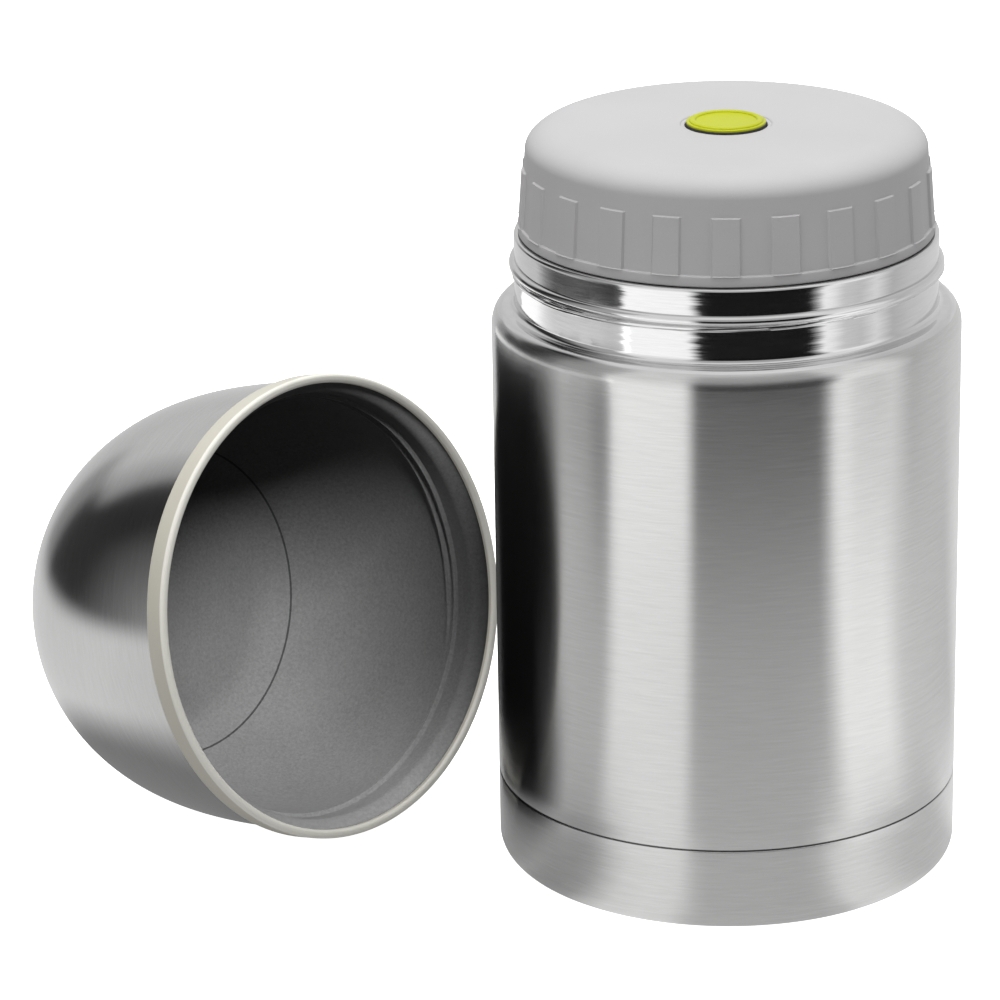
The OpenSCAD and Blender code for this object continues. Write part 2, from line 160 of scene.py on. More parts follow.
def eased(share: np.ndarray) -> np.ndarray:
    """Softens both ends of a share between 0 and 1."""
    return share * share * (3 - 2 * share)


def link(name: str, data: bpy.types.ID) -> bpy.types.Object:
    """Puts a new object into the scene.

    Args:
        name: Name of the object.
        data: Its mesh, light or camera.

    Returns:
        The new object.
    """
    obj = bpy.data.objects.new(name, data)
    bpy.context.scene.collection.objects.link(obj)
    return obj


def lathe(
    name: str,
    outline: list[Point],
    angles: np.ndarray,
    relief: Relief | None = None,
    sharp: float = SHARP,
    place: Matrix | None = None,
) -> bpy.types.Object:
    """Turns a closed outline about the axis into a smooth closed mesh.

    Args:
        name: Name of the piece.
        outline: Closed outline as radius and height in millimetres.
        angles: Angles of the columns, in radians.
        relief: Added radius in millimetres for arrays of angle, radius and height.
        sharp: Edges bent by more than this many degrees stay crisp.
        place: Placement of the piece's own frame in the model's frame.

    Returns:
        The new object.
    """
    pts = [outline[0]]
    for p in outline[1:]:
        if math.dist(p, pts[-1]) > SAME_POINT:
            pts.append(p)
    if math.dist(pts[0], pts[-1]) < SAME_POINT:
        pts.pop()
    radii = np.array([p[0] for p in pts])[:, None]
    heights = np.array([p[1] for p in pts])[:, None]
    turn = angles[None, :]
    grown = radii + (relief(turn, radii, heights) if relief else 0.0) * np.ones_like(turn)
    count = len(angles)
    verts: list[Place] = []
    rows: list[list[int]] = []
    for i, (r, z) in enumerate(pts):
        first = len(verts)
        if r < SAME_POINT:
            verts.append((0.0, 0.0, z * MM))
            rows.append([first] * count)
            continue
        xs = grown[i] * np.cos(angles) * MM
        ys = grown[i] * np.sin(angles) * MM
        verts += [(float(x), float(y), z * MM) for x, y in zip(xs, ys)]
        rows.append(list(range(first, first + count)))
    faces = []
    for a, b in zip(rows, rows[1:] + rows[:1]):
        if a[0] == a[-1] and b[0] == b[-1]:
            continue
        for k in range(count):
            m = (k + 1) % count
            quad = [a[k], a[m], b[m], b[k]]
            faces.append([v for j, v in enumerate(quad) if v not in quad[:j]])
    mesh = bpy.data.meshes.new(name)
    mesh.from_pydata(verts, [], faces)
    return finish_mesh(name, mesh, sharp, place)


def finish_mesh(
    name: str, mesh: bpy.types.Mesh, sharp: float = SHARP, place: Matrix | None = None, closed: bool = True
) -> bpy.types.Object:
    """Joins the equal points of a mesh, smooths its faces and puts it into the scene.

    Args:
        name: Name of the piece.
        mesh: Its mesh.
        sharp: Edges bent by more than this many degrees stay crisp.
        place: Placement of the piece's own frame.
        closed: Whether the mesh has an outside, to which its faces are turned.

    Returns:
        The new object.
    """
    work = bmesh.new()
    work.from_mesh(mesh)
    if place is not None:
        work.transform(place)
    bmesh.ops.remove_doubles(work, verts=work.verts, dist=MERGE)
    if closed:
        bmesh.ops.recalc_face_normals(work, faces=work.faces)
    for face in work.faces:
        face.smooth = True
    work.to_mesh(mesh)
    work.free()
    mesh.set_sharp_from_angle(angle=math.radians(sharp))
    return link(name, mesh)


def helix_tube(name: str, radius: float, wire: float, ends: Point, turns: int) -> bpy.types.Object:
    """Makes a round wire wound into an open coil about the axis.

    Args:
        name: Name of the piece.
        radius: Radius of the coil to the middle of the wire, in millimetres.
        wire: Diameter of the wire.
        ends: Lowest and highest height of the wire's middle.
        turns: Number of turns.

    Returns:
        The new object.
    """
    low, high = ends
    around, runs_a_turn = 12, 36
    along = turns * runs_a_turn
    verts, faces = [], []
    for i in range(along + 1):
        t = 2 * math.pi * i * turns / along
        z = low + (high - low) * i / along
        for j in range(around):
            u = 2 * math.pi * j / around
            r = radius + wire / 2 * math.cos(u)
            verts.append((r * math.cos(t) * MM, r * math.sin(t) * MM, (z + wire / 2 * math.sin(u)) * MM))
    for i in range(along):
        for j in range(around):
            k = (j + 1) % around
            a = i * around
            faces.append([a + j, a + k, a + around + k, a + around + j])
    faces.append(list(range(around))[::-1])
    faces.append([along * around + j for j in range(around)])
    mesh = bpy.data.meshes.new(name)
    mesh.from_pydata(verts, [], faces)
    return finish_mesh(name, mesh)


@dataclass(frozen=True)
class Thread:
    """A rolled helical ridge in a wall, as relief on a lathed piece."""

    height: float
    width: float
    lead: float
    start: float
    sweep: float
    low: float
    starts: int = 1
    run_out: float = 22.0
    crest: float = 0.35

    def relief(self, turn: np.ndarray, radius: np.ndarray, level: np.ndarray) -> np.ndarray:
        """Gives the ridge's height over the wall.

        Args:
            turn: Angles in radians.
            radius: Radii in millimetres, which the ridge doesn't depend on.
            level: Heights in millimetres.

        Returns:
            The added radius; it is negative for a ridge that stands inwards.
        """
        total = np.zeros(np.broadcast_shapes(turn.shape, level.shape))
        for k in range(self.starts):
            first = self.start + 360.0 * k / self.starts
            for lap in range(-1, int(self.sweep // 360) + 2):
                gone = np.degrees(turn) + 360.0 * lap - first
                ends = np.clip(np.minimum(gone, self.sweep - gone) / self.run_out, 0.0, 1.0)
                middle = self.low + self.lead * gone / 360.0
                off = np.abs(level - middle) / (self.width / 2)
                bump = np.clip(1 + self.crest - off, 0.0, 1.0)
                total = np.maximum(total, eased(bump) * eased(ends))
        return self.height * total


# Finishes


MIDDLE = (0.35, 0.65)
CURVE_TOP = 2.0
AXIS = Vector((0.0, 0.0, 1.0))


def grey(level: float) -> Colour:
    """Gives a neutral colour."""
    return (level, level, level)


class Grain(Enum):
    """How the fine lines of a metal run."""

    AROUND = "around the axis on a wall"
    SPUN = "around the axis on a dome or a disc"


class Nodes:
    """Adds nodes to a tree and links them."""

    def __init__(self, tree: bpy.types.NodeTree) -> None:
        """Takes a tree and empties it."""
        self.tree = tree
        self.tree.nodes.clear()

    def new(self, kind: str) -> bpy.types.Node:
        """Adds a node of one of Blender's kinds."""
        return self.tree.nodes.new(kind)

    def put(self, term: object, socket: Socket) -> None:
        """Links a socket, or sets a value, on an input.

        Args:
            term: Socket, number or tuple.
            socket: The input.
        """
        if isinstance(term, Socket):
            self.tree.links.new(term, socket)
        else:
            socket.default_value = term

    def calc(self, operation: str, *terms: object) -> Socket:
        """Adds a Math node.

        Args:
            operation: Blender's name of the operation.
            *terms: Sockets or numbers.

        Returns:
            The result's socket.
        """
        node = self.new("ShaderNodeMath")
        node.operation = operation
        for term, socket in zip(terms, node.inputs):
            self.put(term, socket)
        return node.outputs[0]

    def vector_calc(self, operation: str, *terms: object) -> Socket:
        """Adds a Vector Math node.

        Args:
            operation: Blender's name of the operation.
            *terms: Sockets or vectors; the second one of SCALE is its factor.

        Returns:
            The result's socket.
        """
        node = self.new("ShaderNodeVectorMath")
        node.operation = operation
        for term, key in zip(terms, (0, "Scale" if operation == "SCALE" else 1)):
            self.put(term, node.inputs[key])
        return node.outputs[0]

    def vector(self, *parts: object) -> Socket:
        """Joins three terms into a vector.

        Args:
            *parts: Sockets or numbers.

        Returns:
            The vector.
        """
        node = self.new("ShaderNodeCombineXYZ")
        for term, socket in zip(parts, node.inputs):
            self.put(term, socket)
        return node.outputs[0]

    def split(self, vector: Socket) -> list[Socket]:
        """Splits a vector into its three parts.

        Args:
            vector: The vector.

        Returns:
            Its parts.
        """
        node = self.new("ShaderNodeSeparateXYZ")
        self.put(vector, node.inputs[0])
        return list(node.outputs)

    def mix(self, share: object, a: object, b: object) -> Socket:
        """Mixes two levels.

        Args:
            share: Share of the second level.
            a: First level.
            b: Second level.

        Returns:
            The mixed level.
        """
        rest = self.calc("SUBTRACT", 1.0, share) if isinstance(share, Socket) else 1.0 - share
        return self.calc("ADD", self.calc("MULTIPLY", a, rest), self.calc("MULTIPLY", b, share))

    def span(self, value: Socket, ends: Point, levels: Point = (0.0, 1.0), kind: str = "LINEAR") -> Socket:
        """Maps a value from one range to another, and keeps it there.

        Args:
            value: The value.
            ends: Ends of its range.
            levels: What the ends become.
            kind: Blender's name of the course between them.

        Returns:
            The mapped value.
        """
        node = self.new("ShaderNodeMapRange")
        node.interpolation_type = kind
        self.put(value, node.inputs["Value"])
        for key, number in zip(("From Min", "From Max", "To Min", "To Max"), (*ends, *levels)):
            node.inputs[key].default_value = number
        return node.outputs["Result"]

    def ease(self, value: Socket, ends: Point) -> Socket:
        """Adds a smooth step from 0 to 1 between two values."""
        return self.span(value, ends, kind="SMOOTHSTEP")

    def distance(self, x: Socket, y: Socket, spot: Point = (0.0, 0.0)) -> Socket:
        """Gives the level distance to a spot.

        Args:
            x: Place from left to right.
            y: Place from front to back.
            spot: The spot's place.

        Returns:
            The distance.
        """
        parts = [self.calc("SUBTRACT", term, to) for term, to in zip((x, y), spot)]
        return self.calc("SQRT", self.calc("ADD", *(self.calc("MULTIPLY", part, part) for part in parts)))

    def horizon(self, x: Socket, y: Socket) -> Socket:
        """Gives the place round the horizon.

        Args:
            x: Place from left to right.
            y: Place from front to back.

        Returns:
            0.5 in front, rising to the right.
        """
        angle = self.calc("ARCTAN2", x, self.calc("MULTIPLY", y, -1.0))
        return self.calc("ADD", self.calc("DIVIDE", angle, 2 * math.pi), 0.5)

    def ramp(self, share: Socket, panels: tuple[Point, ...]) -> Socket:
        """Adds a light's level round the horizon.

        Args:
            share: Place round the horizon between 0 and 1.
            panels: Angles from the front in degrees, rising to the right, and the levels there.

        Returns:
            The level.
        """
        curve = self.new("ShaderNodeFloatCurve")
        line = curve.mapping.curves[0]
        curve.mapping.use_clip = False
        points = [((angle + 180.0) / 360.0, level / CURVE_TOP) for angle, level in panels]
        line.points[0].location = points[0]
        line.points[1].location = points[-1]
        for point in points[1:-1]:
            line.points.new(*point)
        for point in line.points:
            point.handle_type = "VECTOR"
        curve.mapping.update()
        self.put(share, curve.inputs["Value"])
        return self.calc("MULTIPLY", curve.outputs[0], CURVE_TOP)


class Graph(Nodes):
    """Builds one material's nodes in front of its surface shader."""

    def __init__(self, name: str, placed: Matrix | None = None) -> None:
        """Starts a material with its surface shader.

        Args:
            name: Name of the material.
            placed: Placement of the piece's own axis, where it isn't the model's.
        """
        self.material = bpy.data.materials.new(name)
        self.material.use_nodes = True
        super().__init__(self.material.node_tree)
        self.shader = self.new("ShaderNodeBsdfPrincipled")
        self.put(self.shader.outputs["BSDF"], self.new("ShaderNodeOutputMaterial").inputs["Surface"])
        self.placed = placed or Matrix()
        self.place = self.new("ShaderNodeTexCoord").outputs["Object"]
        if placed is not None:
            node = self.new("ShaderNodeMapping")
            node.vector_type = "TEXTURE"
            self.put(self.place, node.inputs["Vector"])
            self.put(placed.to_translation(), node.inputs["Location"])
            self.put(placed.to_euler("XYZ"), node.inputs["Rotation"])
            self.place = node.outputs["Vector"]

    def fix(self, **values: float | Colour) -> None:
        """Sets constant values on the shader's own sockets.

        Args:
            **values: Socket names with underscores for spaces, and their values.
        """
        for key, value in values.items():
            socket = self.shader.inputs[key.replace("_", " ")]
            socket.default_value = (*value, 1.0) if isinstance(value, tuple) and len(value) == 3 else value

    def noise(self, vector: Socket, scale: float, detail: float = 3.0, roughness: float = 0.55) -> Socket:
        """Adds a noise texture.

        Args:
            vector: Where it is read.
            scale: Its scale.
            detail: Its number of octaves.
            roughness: How strong the finer octaves are.

        Returns:
            Its value, around 0.5.
        """
        node = self.new("ShaderNodeTexNoise")
        terms = (vector, scale, detail, roughness)
        for term, key in zip(terms, ("Vector", "Scale", "Detail", "Roughness")):
            self.put(term, node.inputs[key])
        return node.outputs["Fac"]

    def cells(self, scale: float) -> Socket:
        """Adds a cell texture.

        Args:
            scale: Its scale.

        Returns:
            The distance to the nearest cell's middle.
        """
        node = self.new("ShaderNodeTexVoronoi")
        self.put(self.place, node.inputs["Vector"])
        self.put(scale, node.inputs["Scale"])
        return node.outputs["Distance"]

    def tint(self, value: Socket, dark: Colour, light: Colour, ends: Point | None = None) -> None:
        """Colours the surface between two tints.

        Args:
            value: Share of the light tint.
            dark: First tint.
            light: Second tint.
            ends: Range of the value that goes from one tint to the other, where it isn't 0 to 1.
        """
        node = self.new("ShaderNodeMix")
        node.data_type = "RGBA"
        self.put(self.span(value, ends) if ends else value, node.inputs[0])
        self.put((*dark, 1.0), node.inputs[6])
        self.put((*light, 1.0), node.inputs[7])
        self.put(node.outputs[2], self.shader.inputs["Base Color"])

    def rough(self, value: Socket, levels: Point, ends: Point = MIDDLE) -> None:
        """Spreads the surface's roughness between two levels.

        Args:
            value: The value that it follows.
            levels: The smoothest and the roughest level.
            ends: Range of the value over which it changes.
        """
        self.put(self.span(value, ends, levels), self.shader.inputs["Roughness"])

    def bump(self, height: Socket, distance: float, strength: float = 1.0) -> None:
        """Raises the surface by a height map.

        Args:
            height: Height between 0 and 1.
            distance: What a height of 1 is, in metres.
            strength: Share of the effect.
        """
        node = self.new("ShaderNodeBump")
        for term, key in ((distance, "Distance"), (strength, "Strength"), (height, "Height")):
            self.put(term, node.inputs[key])
        self.put(node.outputs["Normal"], self.shader.inputs["Normal"])

    def around(self, along: float, across: float, grain: Grain) -> Socket:
        """Gives coordinates whose features are drawn out round the axis.

        Args:
            along: Features per turn radian round the axis.
            across: Features per metre across the lines.
            grain: How the lines run.

        Returns:
            The coordinates.
        """
        x, y, z = self.split(self.place)
        reach = self.distance(x, y)
        safe = self.calc("MAXIMUM", reach, 1e-4)
        level = z if grain is Grain.AROUND else self.calc("ADD", z, reach)
        return self.vector(
            self.calc("MULTIPLY", self.calc("DIVIDE", x, safe), along),
            self.calc("MULTIPLY", self.calc("DIVIDE", y, safe), along),
            self.calc("MULTIPLY", level, across),
        )

    def radial_tangent(self) -> None:
        """Turns the shader's stretched gloss across lines that run round the piece's axis."""
        where = self.new("ShaderNodeTexCoord").outputs["Object"]
        off = self.vector_calc("SUBTRACT", where, self.placed.to_translation())
        along = self.vector_calc("CROSS_PRODUCT", self.placed.to_3x3() @ AXIS, off)
        self.put(self.vector_calc("NORMALIZE", along), self.shader.inputs["Tangent"])

    def swayed(self, value: Socket, amount: float) -> None:
        """Leans the surface's normal to either side along the lines round the axis.

        Args:
            value: How far each spot leans, around 0.5.
            amount: Lean for a step of 1, as a slope.
        """
        along, normal = (self.shader.inputs[key].links[0].from_socket for key in ("Tangent", "Normal"))
        lean = self.calc("MULTIPLY", self.calc("SUBTRACT", value, 0.5), amount)
        leaning = self.vector_calc("ADD", self.vector_calc("SCALE", along, lean), normal)
        self.put(self.vector_calc("NORMALIZE", leaning), self.shader.inputs["Normal"])


@dataclass(frozen=True)
class LinedSteel:
    """Steel with fine lines round its axis, from a brush or a lathe.

    Sway lets each line catch the light apart.
    """

    name: str
    dark: Colour = (0.59, 0.59, 0.585)
    light: Colour = (0.655, 0.655, 0.65)
    gloss: Point = (0.19, 0.215)
    stretch: float = 0.95
    relief: float = 0.000001
    lines: float = 5200.0
    grain: Grain = Grain.AROUND
    sway: float = 0.0
    placed: Matrix | None = None

    def build(self) -> bpy.types.Material:
        """Makes the material.

        Returns:
            The material.
        """
        g = Graph(self.name, self.placed)
        fine = g.noise(g.around(7.0, self.lines, self.grain), scale=1.0, detail=4.0, roughness=0.7)
        streaks = g.noise(g.around(5.0, self.lines / 4.0, self.grain), scale=1.0, detail=2.0)
        handled = g.noise(g.place, scale=38.0)
        g.tint(g.mix(0.25, fine, streaks), self.dark, self.light, ends=(0.36, 0.64))
        g.rough(g.mix(0.4, fine, handled), self.gloss)
        g.bump(fine, self.relief)
        g.fix(Metallic=1.0, Anisotropic=self.stretch, Anisotropic_Rotation=0.25)
        g.radial_tangent()
        if self.sway:
            lines = g.around(1.2, self.lines / 3.0, self.grain)
            g.swayed(g.noise(lines, scale=1.0, roughness=0.75), self.sway)
        return g.material


@dataclass(frozen=True)
class PlainSteel:
    """Pressed or drawn steel without a grain."""

    name: str
    dark: Colour = (0.45, 0.45, 0.44)
    light: Colour = (0.6, 0.6, 0.59)
    gloss: Point = (0.25, 0.42)
    relief: float = 0.00001

    def build(self) -> bpy.types.Material:
        """Makes the material.

        Returns:
            The material.
        """
        g = Graph(self.name)
        cloud = g.noise(g.place, scale=160.0, detail=5.0)
        g.tint(cloud, self.dark, self.light, ends=MIDDLE)
        g.rough(cloud, self.gloss)
        g.bump(g.noise(g.place, scale=2600.0, detail=2.0), self.relief)
        g.fix(Metallic=1.0)
        return g.material


@dataclass(frozen=True)
class BlastedSteel:
    """Steel with a fine matt skin that scatters light almost evenly."""

    name: str
    dark: Colour = grey(0.03)
    light: Colour = grey(0.048)
    gloss: Point = (0.5, 0.62)
    relief: float = 0.00002

    def build(self) -> bpy.types.Material:
        """Makes the material.

        Returns:
            The material.
        """
        g = Graph(self.name)
        speck = g.noise(g.place, scale=1500.0, roughness=0.75)
        cloud = g.noise(g.place, scale=60.0)
        g.tint(g.mix(0.2, speck, cloud), self.dark, self.light, ends=(0.3, 0.7))
        g.rough(cloud, self.gloss)
        g.bump(speck, self.relief)
        g.fix(Metallic=0.25, Specular_IOR_Level=0.05)
        return g.material


@dataclass(frozen=True)
class MouldedPlastic:
    """Moulded plastic with a fine eroded skin."""

    name: str
    dark: Colour
    light: Colour
    gloss: Point = (0.46, 0.56)
    relief: float = 0.00002
    pores: float = 2400.0
    level: float = 0.4

    def build(self) -> bpy.types.Material:
        """Makes the material.

        Returns:
            The material.
        """
        g = Graph(self.name)
        skin = g.noise(g.place, self.pores, roughness=0.6)
        mixed = g.mix(0.6, skin, g.noise(g.place, scale=45.0, detail=4.0))
        g.tint(mixed, self.dark, self.light, ends=(0.36, 0.64))
        g.rough(mixed, self.gloss, ends=(0.38, 0.62))
        g.bump(skin, self.relief, strength=0.6)
        g.fix(Specular_IOR_Level=self.level)
        return g.material


@dataclass(frozen=True)
class SoftRubber:
    """Milky silicone rubber with a faint bloom."""

    name: str
    dark: Colour = (0.62, 0.62, 0.6)
    light: Colour = (0.74, 0.74, 0.72)
    gloss: Point = (0.38, 0.55)
    relief: float = 0.00002

    def build(self) -> bpy.types.Material:
        """Makes the material.

        Returns:
            The material.
        """
        g = Graph(self.name)
        bloom = g.noise(g.place, scale=320.0, detail=5.0)
        g.tint(bloom, self.dark, self.light, ends=MIDDLE)
        g.rough(bloom, self.gloss)
        g.bump(g.noise(g.place, scale=1800.0), self.relief)
        g.fix(Subsurface_Weight=0.25, Subsurface_Scale=0.002)
        return g.material


@dataclass(frozen=True)
class BeadFoam:
    """Light closed-cell foam, palest in the middle of its cells."""

    name: str
    middle: Colour = (0.86, 0.84, 0.78)
    wall: Colour = (0.74, 0.71, 0.64)
    gloss: Point = (0.8, 0.95)
    relief: float = 0.0003

    def build(self) -> bpy.types.Material:
        """Makes the material.

        Returns:
            The material.
        """
        g = Graph(self.name)
        cell = g.cells(620.0)
        g.tint(cell, self.middle, self.wall, ends=(0.1, 0.7))
        g.rough(cell, self.gloss, ends=(0.0, 0.7))
        g.bump(cell, self.relief)
        return g.material


@dataclass(frozen=True)
class WrinkledFoil:
    """Thin bright foil with fine wrinkles."""

    name: str
    dark: Colour = (0.66, 0.5, 0.34)
    light: Colour = (0.86, 0.74, 0.56)
    gloss: Point = (0.12, 0.3)
    relief: float = 0.0006

    def build(self) -> bpy.types.Material:
        """Makes the material.

        Returns:
            The material.
        """
        g = Graph(self.name)
        fold = g.cells(130.0)
        g.tint(fold, self.dark, self.light)
        g.rough(fold, self.gloss, ends=(0.0, 0.8))
        g.bump(g.calc("ADD", fold, g.noise(g.place, scale=420.0)), self.relief)
        g.fix(Metallic=1.0)
        return g.material


@dataclass(frozen=True)
class SinteredPellet:
    """Dark pressed metal powder."""

    name: str
    dark: Colour = grey(0.07)
    light: Colour = (0.2, 0.19, 0.18)
    gloss: Point = (0.6, 0.85)
    relief: float = 0.00008

    def build(self) -> bpy.types.Material:
        """Makes the material.

        Returns:
            The material.
        """
        g = Graph(self.name)
        speck = g.noise(g.place, scale=3800.0, detail=4.0, roughness=0.7)
        g.tint(speck, self.dark, self.light, ends=MIDDLE)
        g.rough(speck, self.gloss)
        g.bump(speck, self.relief)
        g.fix(Metallic=0.6)
        return g.material


class Finishes:
    """The finishes of the jar, each made once and named after the record's material slots."""

    def __init__(self) -> None:
        """Makes every finish."""
        makers = (
            LinedSteel("body_steel"),
            LinedSteel(
                "neck_steel", grey(0.66), grey(0.72),
                gloss=(0.08, 0.12), stretch=0.6, lines=4200.0, sway=0.1,
            ),
            LinedSteel(
                "mouth_steel", grey(0.5), grey(0.62),
                gloss=(0.2, 0.32), stretch=0.5, relief=0.000004, lines=2600.0, grain=Grain.SPUN,
            ),
            PlainSteel("sheet_steel"),
            PlainSteel("solder", (0.36, 0.36, 0.35), (0.52, 0.52, 0.5), gloss=(0.35, 0.6), relief=0.00004),
            SinteredPellet("getter_metal"),
            WrinkledFoil("foil"),
            MouldedPlastic("grey_plastic", (0.355, 0.35, 0.355), (0.375, 0.37, 0.375)),
            MouldedPlastic("plug_plastic", (0.62, 0.62, 0.61), (0.68, 0.68, 0.67)),
            BeadFoam("foam"),
            SoftRubber("silicone"),
            MouldedPlastic(
                "button_plastic", (0.33, 0.355, 0.005), (0.36, 0.39, 0.008),
                gloss=(0.34, 0.42), relief=0.00001, pores=1800.0, level=0.2,
            ),
            MouldedPlastic(
                "skirt_plastic", (0.035, 0.035, 0.033), (0.05, 0.05, 0.047),
                gloss=(0.4, 0.5), relief=0.00001, pores=1800.0,
            ),
            PlainSteel("spring_steel", grey(0.5), (0.66, 0.66, 0.65), gloss=(0.16, 0.26)),
            BlastedSteel("liner_steel"),
            MouldedPlastic(
                "rim_plastic", (0.425, 0.41, 0.355), (0.44, 0.425, 0.365),
                gloss=(0.34, 0.36), relief=0.000002, pores=1200.0,
            ),
            # A lighter copy of the rim plastic for the front lip: painted light where the lip faces the light.
            MouldedPlastic(
                "rim_painted_light", (0.6, 0.59, 0.54), (0.63, 0.62, 0.57),
                gloss=(0.2, 0.26), relief=0.000004, pores=1800.0,
            ),
            BlastedSteel("crease_shade", grey(0.01), grey(0.016)),
        )
        self.made = {maker.name: maker.build() for maker in makers}

    def dress(self, piece: bpy.types.Object, finish: str, slot: str | None = None) -> None:
        """Gives a new piece its finish.

        Args:
            piece: The piece.
            finish: Name of the finish.
            slot: Name of the record's slot where it differs from the finish's; not used.
        """
        piece.data.materials.clear()
        piece.data.materials.append(self.made[finish])

    def redress(self, node: str, finish: str) -> None:
        """Gives a kept node of the frame its finish.

        Args:
            node: Name of the node.
            finish: Name of the finish.
        """
        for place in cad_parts[node].material_slots:
            place.material = self.made[finish]


# Sub-assemblies


@dataclass
class Assembly:
    """Pieces that are built, dressed and fitted to the frame together; sizes are in millimetres."""

    finishes: Finishes

    def fit(self, plan: tuple[tuple[str, ...], ...], *pieces: bpy.types.Object) -> list[bpy.types.Object]:
        """Dresses new pieces, lets them ride on their bodies and replace the frame's nodes.

        Args:
            plan: Each piece's finish, node and body, and its slot where that isn't named after the finish.
            *pieces: The new pieces.

        Returns:
            The new pieces.
        """
        for piece, (finish, node, body, *slot) in zip(pieces, plan):
            self.finishes.dress(piece, finish, *slot)
            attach(piece, body)
            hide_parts(node)
        return list(pieces)

    def accent(self, piece: bpy.types.Object, finish: str, chosen: Callable[[Vector], bool]) -> None:
        """Gives some faces of a piece a second finish.

        Args:
            piece: The piece.
            finish: Name of the finish.
            chosen: Tells from the middle of a face, in metres, whether the face takes it.
        """
        piece.data.materials.append(self.finishes.made[finish])
        for face in piece.data.polygons:
            if chosen(face.center):
                face.material_index = 1


